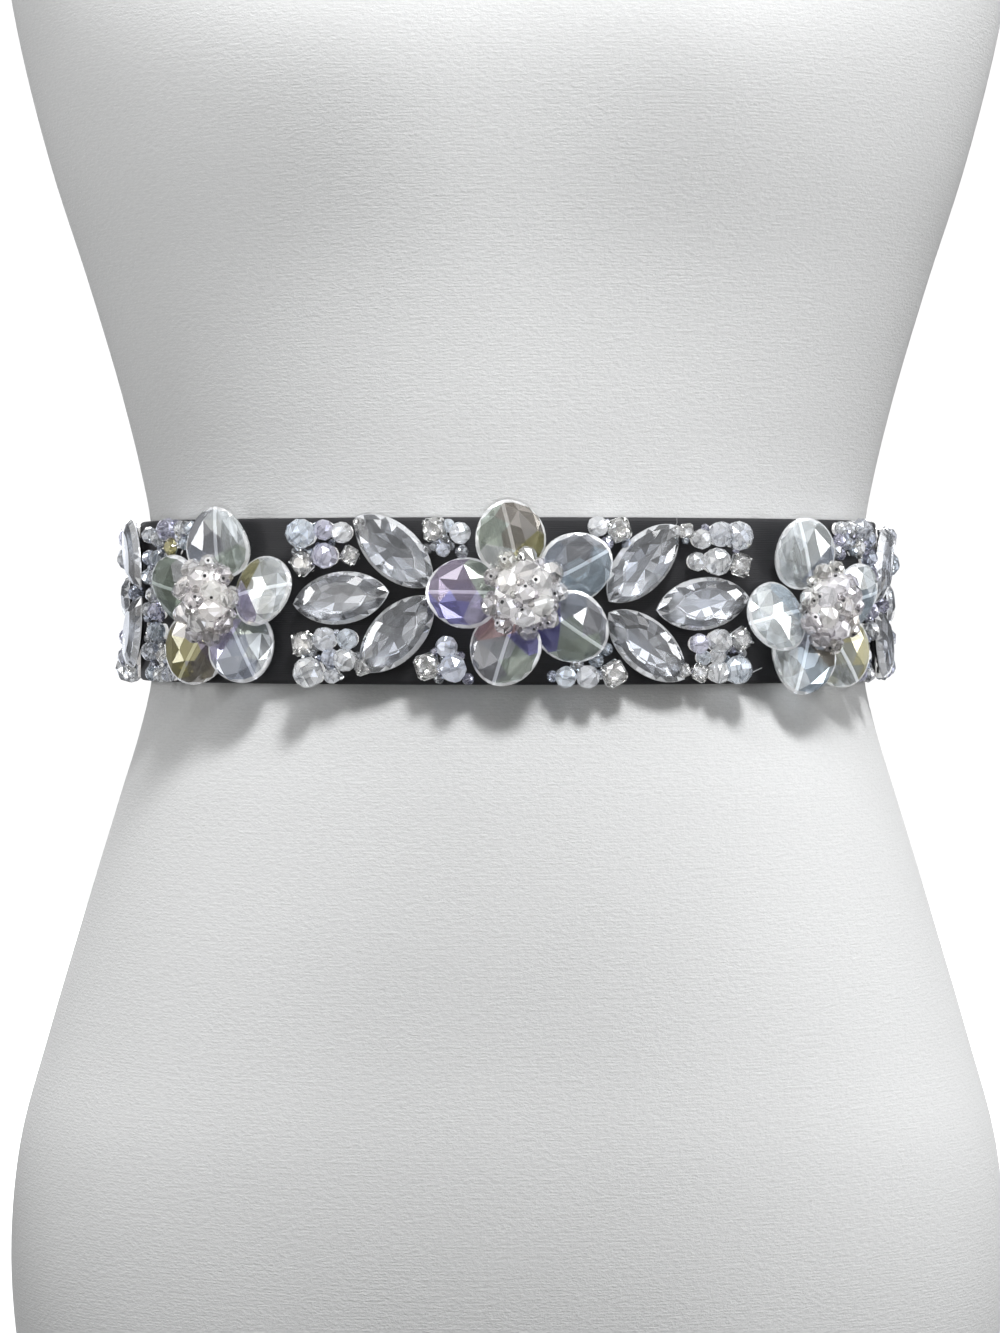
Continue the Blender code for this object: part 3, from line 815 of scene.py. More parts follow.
# %% Make the hearts
HEART_RINGS = (
    # beads, ring radius, lift, bead diameter
    (1, 0.0, 15.0, 6.6),
    (6, 6.0, 13.0, 7.2),
    (9, 10.0, 10.0, 6.6),
    (9, 9.4, 8.0, 4.0),
    (6, 3.2, 15.6, 2.6),
)
HEART_CORE = ((7.2, 7.4), (8.7, 8.8), (8.6, 10.2), (6.2, 11.9), (2.6, 13.0))  # radius and lift
HEART_TALL = 1.12  # a heart is a little taller than wide
HEART_TURN, HEART_SHIFT = 0.12, 0.4  # how far a bead strays round its ring, and in or out in millimetres
HEART_SIZES = (0.92, 1.10)
HEART_SHAKE = 1.3
HEART_GLOW, HEART_GREEN, HEART_BLUE = (0.88, 0.98), (0.96, 1.0), (0.94, 1.03)
# The heart beads' facets are painted darker at random: painted facet shade.
HEART_SHADE, HEART_FACETS = 0.8, (0.0, 0.7)  # the darkest facet, and least and most mirror in one
DOME_RADIUS = 11  # a bead leans by its ring's radius over this
HOLE_RADIUS = 0.075  # of a bead's hole, as a share of the bead


def round_bead(sides=8):
    """A faceted round bead of unit diameter, drilled along Z."""
    outline = round_outline(1.0, 1.0)
    rows = ((sides, 0.40, 0.44, 0.0), (sides, 0.80, 0.29, 0.5), (sides, 0.99, 0.09, 0.0))
    return cut(outline, mirrored(rows))


ROUND_BEAD = round_bead()
HEART_BEAD = round_bead(6)
SMALL_BEAD = round_bead(5)
# A dark plug of the band's satin at each end of a bead's hole: painted shade in the hole.
HOLE_PAINTED_SHADE = tube([Vector((0, 0, z)) for z in (0.40, 0.452)], HOLE_RADIUS, 8)


def shaken(draws, amount):
    """A turn about each axis, of at most amount radians, so that no two catch the light alike."""
    turns = [draws.uniform(-amount, amount) for _ in range(3)]
    turned = Matrix.Rotation(turns[0], 4, "X") @ Matrix.Rotation(turns[1], 4, "Y")
    return turned @ Matrix.Rotation(turns[2], 4, "Z")


def heart_core():
    points = []
    for radius, lift in HEART_CORE:
        for turn in np.linspace(0, 2 * math.pi, 13)[:-1]:
            points.append(Vector((radius * math.cos(turn), HEART_TALL * radius * math.sin(turn), lift)) * MM)
    return hull(points)


def make_heart(flower, along, up, seed):
    draws = random.Random(seed)
    place = seat(along, up)
    pile = Pile()
    pile.add(heart_core(), place, 1)
    for ring, (count, radius, lift, diameter) in enumerate(HEART_RINGS):
        for i in range(count):
            angle = 2 * math.pi * (i + 0.5 * (ring % 2)) / count + draws.uniform(-HEART_TURN, HEART_TURN)
            x, y = radius * math.cos(angle), HEART_TALL * radius * math.sin(angle)
            spot = Vector((x, y, lift + draws.uniform(-HEART_SHIFT, HEART_SHIFT)))
            lean = Matrix.Rotation(angle, 4, "Z") @ Matrix.Rotation(radius / DOME_RADIUS, 4, "Y")
            size = diameter * draws.uniform(*HEART_SIZES) * MM
            glow = draws.uniform(*HEART_GLOW)
            colour = (glow, glow * draws.uniform(*HEART_GREEN), glow * draws.uniform(*HEART_BLUE))
            turned = place @ Matrix.Translation(spot * MM) @ lean @ shaken(draws, HEART_SHAKE)
            bead = turned @ Matrix.Scale(size, 4)
            shape = HEART_BEAD if diameter > 3 else SMALL_BEAD
            pile.add(shape, bead, 0, glitter(colour, draws, HEART_SHADE, HEART_FACETS))
            for end in (0, math.pi):
                pile.add(HOLE_PAINTED_SHADE, bead @ Matrix.Rotation(end, 4, "X"), 2)
    name = f"heart_{flower}"
    pile.piece(f"{name}_beads", [HEART_GLASS, NET_WITH_PAINTED_GLOW, SATIN], nodes=[name], slot="clear_crystal")


for seed, (flower, (along, up, _, _)) in enumerate(FLOWERS.items(), 11):
    make_heart(flower, along, up, seed)
print("hearts:", len(FLOWERS), "of", sum(row[0] for row in HEART_RINGS), "beads")

# %% [markdown]
# ## The pointed ovals
#
# These sew-on stones are glass with a silvered back. The crown is clear round a wide table, and the
# silver underneath is cut in rows of facets, each painted its own brightness as a painted reflection, so
# that the stone flashes in patches of white and grey with a row of sparks round its rim, where the small
# facets have a faint painted glow. Each has a sewing hole near each tip, made as a dark plug of the
# band's satin: the band seen through it, with the hole's shade painted in.

# %% Make the pointed ovals
NAVETTE_LENGTH, NAVETTE_WIDTH = 31.2, 15.8
NAVETTE_SEAT = 0.3
NAVETTE_ROWS = (
    # corners, share of the outline, height, start
    (12, 0.60, 5.40, 0.0),
    (24, 0.86, 4.10, 0.5),
    (40, 0.985, 2.50, 0.0),
    (40, 1.00, 2.10, 0.0),
    (20, 0.80, 1.35, 0.5),
    (12, 0.50, 0.62, 0.0),
    (5, 0.20, 0.32, 0.5),
)
NAVETTE_GIRDLE = 2.0
NAVETTE_HOLES = 12.3  # how far the sewing holes are from the middle
NAVETTE_HOLE_LIFTS = (2.2, 3.75)
NAVETTE_HOLE_RADIUS = 0.42
NAVETTE_RIM = 0.88  # facets further out than this share of the outline belong to the rim
CROWN = (0.95, 0.97, 1.0)
CROWN_MIRROR, SPARK_MIRROR = 0.04, (0.1, 0.7)  # of the clear crown, and of the sparks in its rim
# Brightnesses painted on the silver facets: painted reflection.
FOIL_PAINTED_REFLECTIONS = (0.24, 0.34, 0.44, 0.56, 0.92)
FOIL_TINT = (0.97, 0.99, 1.03)


def on_navette_rim(middle):
    return math.hypot(middle.x / NAVETTE_LENGTH, middle.y / NAVETTE_WIDTH) > NAVETTE_RIM / 2 * MM


def navette_slot(middle):
    """Silver below the girdle, clear glass above it, and the small facets of the rim apart."""
    if middle.z < NAVETTE_GIRDLE * MM:
        return 1
    return 3 if on_navette_rim(middle) else 0


def navette_template():
    outline = navette_outline(NAVETTE_LENGTH * MM, NAVETTE_WIDTH * MM)
    rows = [(corners, share, lift * MM, start) for corners, share, lift, start in NAVETTE_ROWS]
    return cut(outline, rows, navette_slot)


def navette_tint(draws):
    """Clear over the silver. Each of the silver's facets is painted its own brightness: a painted
    reflection, as each faces its own way.
    """

    def tint(middle):
        if middle.z > NAVETTE_GIRDLE * MM:
            return CROWN + (draws.uniform(*SPARK_MIRROR) if on_navette_rim(middle) else CROWN_MIRROR,)
        shade = draws.choice(FOIL_PAINTED_REFLECTIONS)
        return tuple(shade * channel for channel in FOIL_TINT) + (1.0,)

    return tint


NAVETTE = navette_template()
# Each sewing hole is a dark plug of the band's satin: the band seen through it, with the hole's shade
# painted in.
hole_ends = [Vector((NAVETTE_HOLES * MM, 0, lift * MM)) for lift in NAVETTE_HOLE_LIFTS]
NAVETTE_HOLE_PAINTED_SHADE = tube(hole_ends, NAVETTE_HOLE_RADIUS * MM, 10)


def make_navette(flower, side, row, along, further, draws):
    name, out, up, turn = row
    outward = 1 if side == "right" else -1
    turned = turn if outward > 0 else 180.0 - turn
    place = seat(along + outward * (out + further), up, NAVETTE_SEAT, turned)
    pile = Pile()
    pile.add(NAVETTE, place, 0, navette_tint(draws))
    for half_turn in (0, math.pi):
        pile.add(NAVETTE_HOLE_PAINTED_SHADE, place @ Matrix.Rotation(half_turn, 4, "Z"), 2)
    node = f"navette_{flower}_{side}_{name}"
    pile.piece(f"{node}_stone", [STONE_GLASS, FOIL, SATIN, RIM_GLASS_WITH_PAINTED_GLOW], nodes=[node], slot="foiled_crystal")


SPRAY_NAVETTES = {
    "left": (
        # name, out, up, turn: degrees that the outer tip rises
        ("upper", 38.2, 14.9, 41.5),
        ("middle", 54.6, 0.9, -7.0),
        ("lower", 37.4, -9.9, -45.0),
    ),
    "right": (
        ("upper", 35.6, 11.2, 47.0),
        ("middle", 54.6, -0.8, 7.0),
        ("lower", 36.8, -13.4, -40.0),
    ),
}
SPRAYS = (
    # flower, side, and how far its fan stands out from its usual place
    ("centre", "left", 0.0),
    ("centre", "right", 0.0),
    ("left", "left", 16.0),
    ("right", "right", 10.0),
)
for seed, (flower, side, further) in enumerate(SPRAYS, 31):
    for row in SPRAY_NAVETTES[side]:
        make_navette(flower, side, row, FLOWERS[flower][0], further, random.Random(seed))
print("pointed ovals:", 3 * len(SPRAYS), "each with", len(NAVETTE[1]), "facets")

# %% [markdown]
# ## The bunches of beads
#
# Between the ovals sit bunches of round glass beads, pale blue with a rainbow coat, and of small
# rhinestones in square silver settings. A setting is a cup whose four corners are drawn up and bent over
# the stone. Each bunch is one piece, as it replaces one solid. Seed beads fill its gaps.

# %% Where the beads are
SPRAY_BEADS = {
    "left": {
        # cluster: rows of out, up, diameter, kind
        "top_corner": (
            (66.5, 20.2, 8.7, "round"),
            (59.6, 21.3, 6.0, "round"),
            (53.9, 20.5, 6.2, "round"),
            (66.6, 11.4, 7.8, "set"),
            (59.0, 13.6, 7.6, "round"),
            (51.8, 13.6, 5.8, "set"),
        ),
        "bottom_corner": (
            (66.6, -12.8, 7.8, "set"),
            (59.2, -11.4, 7.0, "round"),
            (52.2, -11.4, 6.2, "round"),
            (64.0, -21.4, 9.0, "round"),
            (57.8, -16.9, 5.4, "round"),
            (52.9, -17.6, 6.8, "round"),
            (57.4, -22.3, 4.8, "round"),
        ),
        "top_inner": (
            (26.0, 21.3, 7.6, "set"),
            (22.0, 22.4, 4.0, "round"),
            (18.4, 20.2, 6.2, "round"),
            (23.6, 15.4, 4.4, "round"),
        ),
        "bottom_inner": (
            (22.4, -13.6, 6.4, "round"),
            (28.0, -19.4, 8.2, "set"),
            (20.4, -20.0, 8.0, "round"),
        ),
    },
    "right": {
        "top_corner": (
            (49.4, 20.8, 5.0, "set"),
            (53.8, 18.6, 6.0, "round"),
            (59.8, 20.0, 7.5, "round"),
            (65.4, 19.6, 8.4, "round"),
            (52.4, 11.8, 5.6, "round"),
            (58.4, 11.8, 8.0, "round"),
            (66.8, 10.9, 7.5, "set"),
        ),
        "bottom_corner": (
            (53.0, -12.8, 5.8, "round"),
            (59.4, -12.0, 7.2, "round"),
            (67.0, -11.6, 7.5, "set"),
            (54.8, -17.0, 4.4, "round"),
            (59.4, -16.6, 4.8, "round"),
            (53.8, -21.4, 5.8, "set"),
            (59.4, -21.4, 6.6, "round"),
            (65.2, -20.7, 8.4, "round"),
        ),
        "top_inner": (
            (21.8, 22.2, 6.0, "round"),
            (28.2, 21.2, 7.6, "set"),
        ),
        "bottom_inner": (
            (12.4, -22.6, 6.2, "round"),
            (18.8, -22.6, 6.8, "round"),
            (26.6, -21.6, 8.0, "set"),
        ),
    },
}
END_BEADS = {
    # at the two ends the fan stands further out, and fuller bunches fill the space beside the flower
    "top_inner": (
        (13.4, 22.2, 4.4, "round"),
        (18.0, 22.2, 4.8, "round"),
        (23.6, 22.0, 6.8, "round"),
        (16.0, 17.8, 4.4, "round"),
        (22.8, 16.6, 6.6, "set"),
        (30.2, 19.2, 5.0, "round"),
        (30.6, 13.2, 5.2, "round"),
        (36.6, 20.4, 5.0, "round"),
        (36.8, 13.4, 4.8, "round"),
        (31.6, 7.4, 5.2, "round"),
        (36.8, 7.6, 5.0, "round"),
    ),
    "bottom_inner": (
        (34.6, -22.4, 4.8, "round"),
        (29.6, -22.8, 4.8, "round"),
        (24.6, -22.6, 4.6, "round"),
        (28.0, -16.8, 6.2, "set"),
        (34.6, -15.6, 6.0, "round"),
        (31.2, -9.4, 5.8, "round"),
        (37.0, -9.0, 5.0, "set"),
        (31.6, -3.2, 5.4, "round"),
        (37.2, -2.6, 4.8, "round"),
        (34.4, 2.0, 4.8, "round"),
    ),
}
END_REACH = 22.0  # how far out a bead may be there, from where the fan usually stands
TIP_STONES = {
    # small set stones sewn over the outer tips of the ovals
    # side, cluster: out, up, lift, size
    ("left", "top_corner"): (48.3, 23.0, 3.4, 4.2),
    ("left", "bottom_corner"): (47.6, -19.6, 3.6, 5.4),
    ("right", "top_corner"): (45.4, 20.6, 3.6, 3.8),
    ("right", "bottom_corner"): (48.2, -20.8, 3.6, 4.2),
}
FILLERS = {
    # smaller beads that show between a petal, its bunch and its fan
    # flower, side, cluster: rows of out, up, diameter
    ("centre", "left", "top_inner"): ((18.0, 14.6, 4.0), (28.4, 15.6, 3.4)),
    ("centre", "left", "bottom_inner"): ((24.8, -23.0, 3.2), (16.2, -23.2, 3.6)),
    ("centre", "right", "top_inner"): ((24.6, 17.0, 4.2), (20.4, 17.6, 3.8), (31.0, 16.6, 3.6)),
    ("centre", "right", "bottom_inner"): (
        (15.8, -18.8, 4.2),
        (21.4, -17.6, 4.6),
        (24.6, -14.4, 3.8),
        (8.6, -22.4, 3.4),
    ),
    ("left", "left", "bottom_inner"): ((50.5, 2.5, 5.0),),
    ("right", "right", "top_inner"): ((9.6, 15.2, 4.8), (12.4, 18.6, 4.2), (13.4, 14.4, 3.6)),
    ("right", "right", "bottom_inner"): ((44.5, -1.5, 5.0),),
}
BEAD_SEAT = 0.45
BEAD_TINTS = (
    (0.80, 0.85, 0.97),
    (0.90, 0.93, 0.98),
    (0.80, 0.80, 0.95),
    (0.93, 0.95, 0.97),
    (0.80, 0.87, 0.95),
)
CHAMPAGNE = (0.97, 0.97, 0.96)
BEAD_SWELL = 1.08  # the facets cut into a bead's outline, so it is made a little larger


# %% Settings and their stones
def square_ring(half, corner, height):
    """Eight points of a square with cut corners."""
    ring = []
    for quarter in range(4):
        turned = Matrix.Rotation(quarter * math.pi / 2, 3, "Z")
        for y in (corner - half, half - corner):
            ring.append(turned @ Vector((half, y, height)))
    return ring


def loft(rings):
    """A template: walls through rings of equally many points, closed at both ends."""
    n = len(rings[0])
    faces = []
    for r in range(len(rings) - 1):
        for i in range(n):
            j = (i + 1) % n
            faces.append([r * n + i, r * n + j, (r + 1) * n + j, (r + 1) * n + i])
    faces.append(list(reversed(range(n))))
    faces.append([(len(rings) - 1) * n + i for i in range(n)])
    return [p for ring in rings for p in ring], faces, None


# The cup, its claws and its stone are for a setting one unit wide, with the stone's girdle at height 0
SETTING_RINGS = (
    # half width, cut corner, height: up the outside of the cup, then down inside it
    (0.38, 0.14, -0.40),
    (0.45, 0.17, -0.28),
    (0.47, 0.18, -0.04),
    (0.44, 0.18, 0.0),
    (0.34, 0.12, -0.26),
)
CLAW_PATH = ((0.35, 0.35, -0.20), (0.36, 0.36, 0.02), (0.335, 0.335, 0.12), (0.27, 0.27, 0.16))
CLAW_RADIUS = 0.055
CHATON_WIDTH = 0.92
CHATON_ROWS = (
    # corners, share of the outline, height, start
    (8, 0.50, 0.25, 0.0),
    (8, 0.80, 0.17, 0.5),
    (16, 0.99, 0.03, 0.0),
    (16, 1.0, 0.0, 0.0),
    (8, 0.60, -0.18, 0.0),
    (4, 0.1, -0.30, 0.5),
)


def chaton_slot(middle):
    """The back of a round stone is silvered."""
    return 1 if middle.z < 0.0 else 0


SETTING = loft([square_ring(*row) for row in SETTING_RINGS])
CLAW = tube([Vector(p) for p in CLAW_PATH], CLAW_RADIUS, 8)
CHATON = cut(round_outline(CHATON_WIDTH, CHATON_WIDTH), CHATON_ROWS, chaton_slot)
print("a setting:", len(SETTING[1]) + 4 * len(CLAW[1]), "faces, its stone:", len(CHATON[1]))


# %% Make the bunches
ROUND_FACETS, SET_FACETS = (0.05, 0.55), (0.05, 0.5)  # least and most mirror in a facet
# The facets of beads and set stones are painted darker at random: painted facet shade.
FACET_SHADE = 0.75  # the darkest facet, as a share of the stone's colour
BEAD_SHAKE, SET_SHAKE, SEED_SHAKE = 0.5, 0.06, 1.5
THREAD_SHARE = 0.05  # radius of the thread in a bead, as a share of the bead
THREAD_REACH = 0.47  # and how far it shows each way from the middle
NET_LIFTS = (0.35, 1.15)
NET_SHARE = 0.42  # radius of the net under a bead, as a share of the bead
ROUND_REACH, SET_REACH = 0.50, 0.40  # from the seat to the middle of a bead or a set stone
FIRST_TURN, NEXT_TURN, TIP_TURN = 8.0, 11.0, 20.0  # degrees that stones are turned on their seats
SEEDS, END_SEEDS = 16, 40  # small beads tried in each bunch, and in the fuller ones at the ends
SEED_SIZES = (2.0, 3.1)
SEED_GAP = 2.4  # a small bead has two larger ones within this distance
SEED_SPACE = 0.3  # and this much between its middle and the larger bead that it lies beside
SEED_RISE = 0.9  # how far its middle stands off the band, as a share of its size
BAND_MARGIN = 1  # the small beads stay this far from the edges of the band


def add_bead(pile, place, size, draws):
    """A drilled round bead with its thread."""
    colour = BEAD_TINTS[draws.randrange(len(BEAD_TINTS))]
    turned = place @ Matrix.Rotation(math.pi / 2, 4, "Y") @ shaken(draws, BEAD_SHAKE)
    sized = turned @ Matrix.Scale(size * BEAD_SWELL * MM, 4)
    pile.add(ROUND_BEAD, sized, 0, glitter(colour, draws, FACET_SHADE, ROUND_FACETS))
    ends = [Vector((0, 0, reach * size)) * MM for reach in (-THREAD_REACH, THREAD_REACH)]
    pile.add(tube(ends, THREAD_SHARE * size * MM), turned, 3)


def add_set_stone(pile, place, size, draws, colour=CHAMPAGNE):
    """A round stone in its cup, with four claws."""
    sized = place @ Matrix.Scale(size * MM, 4)
    pile.add(SETTING, sized, 2)
    leaning = sized @ shaken(draws, SET_SHAKE)
    pile.add(CHATON, leaning, 0, glitter(colour, draws, FACET_SHADE, SET_FACETS))
    for quarter in range(4):
        pile.add(CLAW, sized @ Matrix.Rotation(quarter * math.pi / 2, 4, "Z"), 2)


def spray_clusters(side, further):
    """The clusters of a spray: the corner ones move out with the fan, the inner ones stay by the flower."""
    clusters = {}
    for corner, rows in SPRAY_BEADS[side].items():
        if corner.endswith("corner"):
            clusters[corner] = [(out + further, up, size, kind) for out, up, size, kind in rows]
        elif further:
            clusters[corner] = [row for row in END_BEADS[corner] if row[0] < END_REACH + further]
        else:
            clusters[corner] = rows
    return clusters


def add_seeds(pile, rows, along, outward, tries, draws):
    """Small beads in the gaps, each between two beads of the bunch."""
    for _ in range(tries):
        out, up, size, _ = rows[draws.randrange(len(rows))]
        away = draws.uniform(0, 2 * math.pi)
        seed_size = draws.uniform(*SEED_SIZES)
        reach = size / 2 + SEED_SPACE
        x, y = out + reach * math.cos(away), up + reach * math.sin(away)
        gaps = [math.hypot(x - o, y - u) - s / 2 for o, u, s, _ in rows]
        near = sum(gap < SEED_GAP for gap in gaps)
        if min(gaps) < 0 or near < 2 or abs(y) > BAND_HEIGHT / MM / 2 - BAND_MARGIN:
            continue
        lift = BEAD_SEAT + SEED_RISE * seed_size
        place = seat(along + outward * x, y, lift) @ shaken(draws, SEED_SHAKE)
        colour = BEAD_TINTS[draws.randrange(len(BEAD_TINTS))]
        pile.add(SMALL_BEAD, place @ Matrix.Scale(seed_size * MM, 4), 0, glitter(colour, draws))


def add_net(pile, place, size, lift):
    """A round of white net under one bead, with a faint painted glow, so that the rounds of a bunch make one
    patch of net.
    """
    foot = [place @ Vector((0, 0, (height - lift) * MM)) for height in NET_LIFTS]
    pile.add(tube(foot, NET_SHARE * size * MM, 12), Matrix.Identity(4), 4)


def make_cluster(flower, side, corner, rows, further):
    along = FLOWERS[flower][0]
    outward = 1 if side == "right" else -1
    node = f"cluster_{flower}_{side}_{corner}"
    draws = random.Random(node)
    pile = Pile()
    for number, (out, up, size, kind) in enumerate(rows):
        lift = BEAD_SEAT + (SET_REACH if kind == "set" else ROUND_REACH) * size
        place = seat(along + outward * out, up, lift, FIRST_TURN + NEXT_TURN * number)
        add_net(pile, place, size, lift)
        if kind == "set":
            lemon = (flower, corner) == ("left", "top_inner")
            add_set_stone(pile, place, size, draws, LEMON if lemon else CHAMPAGNE)
        else:
            add_bead(pile, place, size, draws)
    for out, up, size in FILLERS.get((flower, side, corner), ()):
        lift = BEAD_SEAT + ROUND_REACH * size
        add_bead(pile, seat(along + outward * out, up, lift), size, draws)
    if (side, corner) in TIP_STONES:
        out, up, lift, size = TIP_STONES[side, corner]
        place = seat(along + outward * (out + further), up, lift, TIP_TURN)
        add_set_stone(pile, place, size, draws)
    add_seeds(pile, rows, along, outward, END_SEEDS if further else SEEDS, draws)
    finishes = [BEAD_GLASS, FOIL, SILVER, THREAD, NET_WITH_PAINTED_GLOW]
    pile.piece(f"{node}_beads", finishes, nodes=[node], slot="bead_crystal")


for flower, side, further in SPRAYS:
    for corner, rows in spray_clusters(side, further).items():
        make_cluster(flower, side, corner, rows, further)
print("bunches:", 4 * len(SPRAYS))

# %% [markdown]
# Hand sewing leaves its ends. One clear end sticks out beside the right flower, and a finer one hangs
# beside the middle flower.

# %% Thread ends
THREAD_ENDS = (
    # radius, then along, up and lift of its points
    (0.14, ((74.6, -22.3, 0.6), (75.8, -21.7, 1.8), (77.2, -20.9, 2.6), (78.8, -20.2, 3.0))),
    (0.05, ((50.2, 21.4, 0.5), (50.9, 23.4, 1.6), (50.5, 25.2, 2.4), (51.0, 26.6, 2.8))),
)
ends = Pile()
for radius, route in THREAD_ENDS:
    points = [on_band(along * MM, up * MM, lift * MM) for along, up, lift in route]
    ends.add(tube(points, radius * MM), Matrix.Identity(4))
ends.piece("thread_ends", [THREAD])
print("thread ends:", len(THREAD_ENDS))

# %% [markdown]
# ## Stage, light and camera
#
# The photograph is a close, level product shot on white. The key light and a long strip are above and
# in front, so the stones throw a short shadow down the form. Its sides fall off into grey: a narrow strip
# on each side lifts them a little, and the surround is dim to the cloth. A spot from low in front reaches
# the upper body alone, where the high key falls away. Small lamps put sparks in the stones, and a fill
# behind lights the back. Glass needs something to mirror: for it the surround is a studio of pale panels
# and dark gaps, brighter above. The camera sees plain white.

# %% Floor
FLOOR_RADIUS = 3.0
FLOOR_GLOW = 0.7


def make_floor():
    turns = np.linspace(0, 2 * math.pi, 65)[:-1]
    corners = [(FLOOR_RADIUS * math.cos(a), FLOOR_RADIUS * math.sin(a), 0.0) for a in turns]
    mesh = bpy.data.meshes.new("floor")
    mesh.from_pydata(corners, [], [list(range(len(corners)))])
    floor = bpy.data.objects.new("floor", mesh)
    bpy.context.scene.collection.objects.link(floor)
    finish = Finish("pale_floor", Roughness=0.9, Base_Color=(0.9, 0.9, 0.9, 1))
    finish.feed(finish.shader, {"Emission Color": (1, 1, 1, 1), "Emission Strength": FLOOR_GLOW})
    mesh.materials.append(finish.material)
    # The floor is pale to the camera, and adds no light of its own to the form
    floor.visible_diffuse = floor.visible_glossy = floor.visible_transmission = False
    floor.visible_shadow = False
    floor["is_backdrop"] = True


make_floor()


# %% Lights
PANELS = (
    # name, place, width, height, power
    ("key", (0.70, -2.10, 3.63), 0.70, 0.70, 138.0),
    ("overhead_strip", (0.0, -1.2, 2.1), 2.4, 0.3, 16.0),
    ("left_strip", (-1.7, -0.25, 0.5), 0.3, 1.4, 11.5),
    ("right_strip", (1.7, -0.25, 0.5), 0.3, 1.4, 11.0),
    ("back_fill", (0.0, 2.2, 1.0), 1.2, 1.2, 30.0),
)
SPARKS = ((-0.9, 1.2), (0.8, 0.9), (-0.5, 0.1), (0.45, 0.05), (0.0, 0.75))  # across and up
SPARK_AWAY, SPARK_SIZE, SPARK_POWER = 1.5, 0.06, 0.18
SPOT_PLACE, SPOT_AIM = (0.0, -1.6, 0.15), (0.0, 0.0, WAIST + 0.245)
SPOT_POWER, SPOT_ANGLE, SPOT_BLEND, SPOT_SIZE = 37.0, math.radians(20), 0.8, 0.06


def add_lamp(name, data, place, target):
    lamp = bpy.data.objects.new(name, data)
    lamp.location = place
    lamp.rotation_euler = (Vector(target) - Vector(place)).to_track_quat("-Z", "Y").to_euler()
    bpy.context.scene.collection.objects.link(lamp)


def add_panel(name, place, width, height, power):
    """A glowing rectangle, turned to the middle of the waist."""
    data = bpy.data.lights.new(name, "AREA")
    data.shape = "RECTANGLE"
    data.size = width
    data.size_y = height
    data.energy = power
    add_lamp(name, data, place, (0.0, 0.0, WAIST))


def add_low_spot():
    """A spot from low in front. It has faded out at the band's lower edge, so the shadow stays dark."""
    data = bpy.data.lights.new("low_spot", "SPOT")
    data.energy = SPOT_POWER
    data.spot_size = SPOT_ANGLE
    data.spot_blend = SPOT_BLEND
    data.shadow_soft_size = SPOT_SIZE
    add_lamp("low_spot", data, SPOT_PLACE, SPOT_AIM)


for panel in PANELS:
    add_panel(*panel)
for number, (x, z) in enumerate(SPARKS):
    add_panel(f"spark_{number}", (x, -SPARK_AWAY, z), SPARK_SIZE, SPARK_SIZE, SPARK_POWER)
add_low_spot()
print("lamps:", len(bpy.data.lights))


# %% Surround
GAP_GLOW = 0.12
PANEL_GLOWS = ((0.25, 0.30), (0.58, 0.45), (0.84, 1.1))  # beyond each share of the panels, so much more
LEVEL_GLOW, UPWARD_GLOW = 0.75, 0.55  # the studio is brighter above
PANEL_SCALE = 2.6
COOL_PANEL, WARM_PANEL = (0.92, 0.96, 1.05, 1), (1.04, 1.0, 0.94, 1)
CLOTH_SURROUND = {"Color": (1, 0.95, 0.80, 1), "Strength": 0.035}
SEEN_SURROUND = {"Color": (1, 1, 1, 1), "Strength": 1.05}


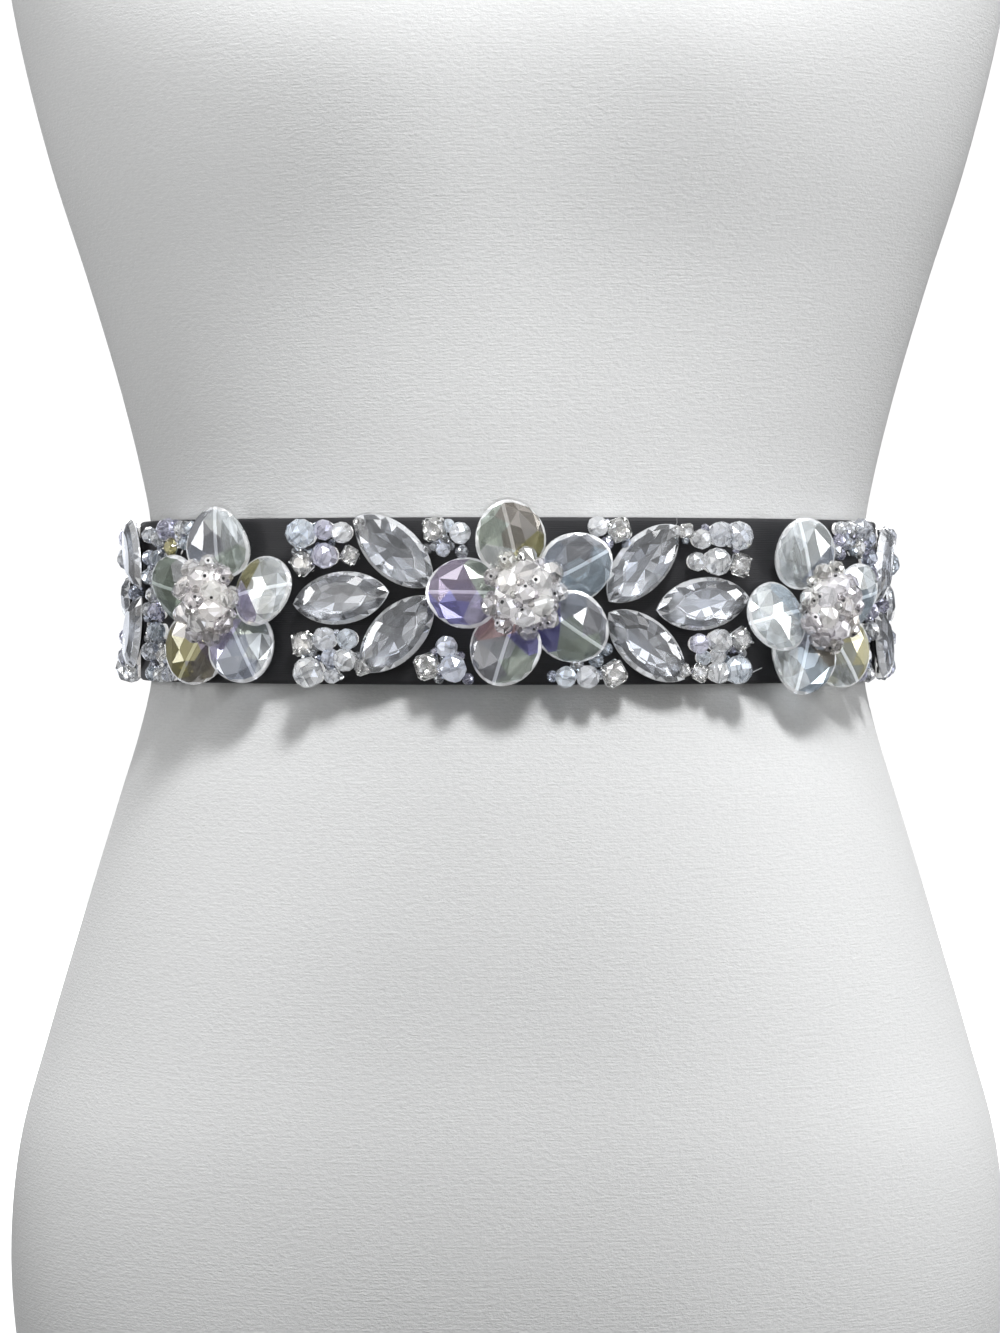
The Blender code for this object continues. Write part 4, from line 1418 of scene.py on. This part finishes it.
def make_surround():
    world = bpy.data.worlds.new("surround")
    bpy.context.scene.world = world
    world.use_nodes = True
    world.node_tree.nodes.clear()
    graph = Graph(world.node_tree)
    toward = graph.node("ShaderNodeTexCoord", output="Generated")
    height = graph.node("ShaderNodeSeparateXYZ", {}, {0: toward}, output="Z")
    cells = {"Vector": toward, "Scale": PANEL_SCALE}
    panel = graph.node("ShaderNodeTexVoronoi", {"distance": "CHEBYCHEV"}, cells, output="Color")
    chance = graph.node("ShaderNodeSeparateColor", {}, {0: panel})
    warmth = graph.node("ShaderNodeSeparateColor", {}, {0: panel}, output=1)
    studio = GAP_GLOW
    for share, glow in PANEL_GLOWS:
        studio = studio + (chance > share) * glow
    studio = studio * (LEVEL_GLOW + height * UPWARD_GLOW)
    hue = graph.mix(warmth, COOL_PANEL, WARM_PANEL)
    mirrored_studio = graph.node("ShaderNodeBackground", {}, {"Color": hue, "Strength": studio})
    plain = graph.node("ShaderNodeBackground", {}, CLOTH_SURROUND)
    white = graph.node("ShaderNodeBackground", {}, SEEN_SURROUND)
    on_cloth = graph.node("ShaderNodeLightPath", output="Is Diffuse Ray")
    to_camera = graph.node("ShaderNodeLightPath", output="Is Camera Ray")
    lit = graph.node("ShaderNodeMixShader", {}, {0: on_cloth, 1: mirrored_studio, 2: plain})
    seen = graph.node("ShaderNodeMixShader", {}, {0: to_camera, 1: lit, 2: white})
    graph.feed(graph.tree.nodes.new("ShaderNodeOutputWorld"), {"Surface": seen})


make_surround()
bpy.context.scene.view_settings.view_transform = "Standard"
print("surround:", len(bpy.context.scene.world.node_tree.nodes), "nodes")

# %% [markdown]
# The camera is level with the band at 1.4 m. Its focal length comes from the scale of the photograph: at
# that distance the 50 mm band fills the same share of the frame. It is aimed a little below the band, and
# stands a little left of its middle, so that the band falls where the photograph has it.

# %% Camera
FRAME_WIDTH, FRAME_HEIGHT = 1000, 1333
SENSOR = 36.0
DISTANCE = 1.4
PIXELS_PER_METRE = 3144.0  # at the waist's middle
BAND_MIDDLE = (508, 601)  # where the band's middle shows in the frame


def make_camera():
    data = bpy.data.cameras.new("camera")
    data.sensor_width = SENSOR
    data.lens = PIXELS_PER_METRE * DISTANCE / FRAME_HEIGHT * SENSOR
    camera = bpy.data.objects.new("camera", data)
    bpy.context.scene.collection.objects.link(camera)
    right = (FRAME_WIDTH / 2 - BAND_MIDDLE[0]) / PIXELS_PER_METRE
    down = (FRAME_HEIGHT / 2 - BAND_MIDDLE[1]) / PIXELS_PER_METRE
    aim = Vector((right, 0.0, WAIST - down))
    camera.location = (right, -DISTANCE, WAIST)
    camera.rotation_euler = (aim - camera.location).to_track_quat("-Z", "Y").to_euler()
    bpy.context.scene.camera = camera
    print(f"lens {data.lens:.1f} mm at {DISTANCE} m")


make_camera()

# %% Measure and finish
boxes = [[[float(v) for v in corner] for corner in box] for box in (SOLID_BOX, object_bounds())]
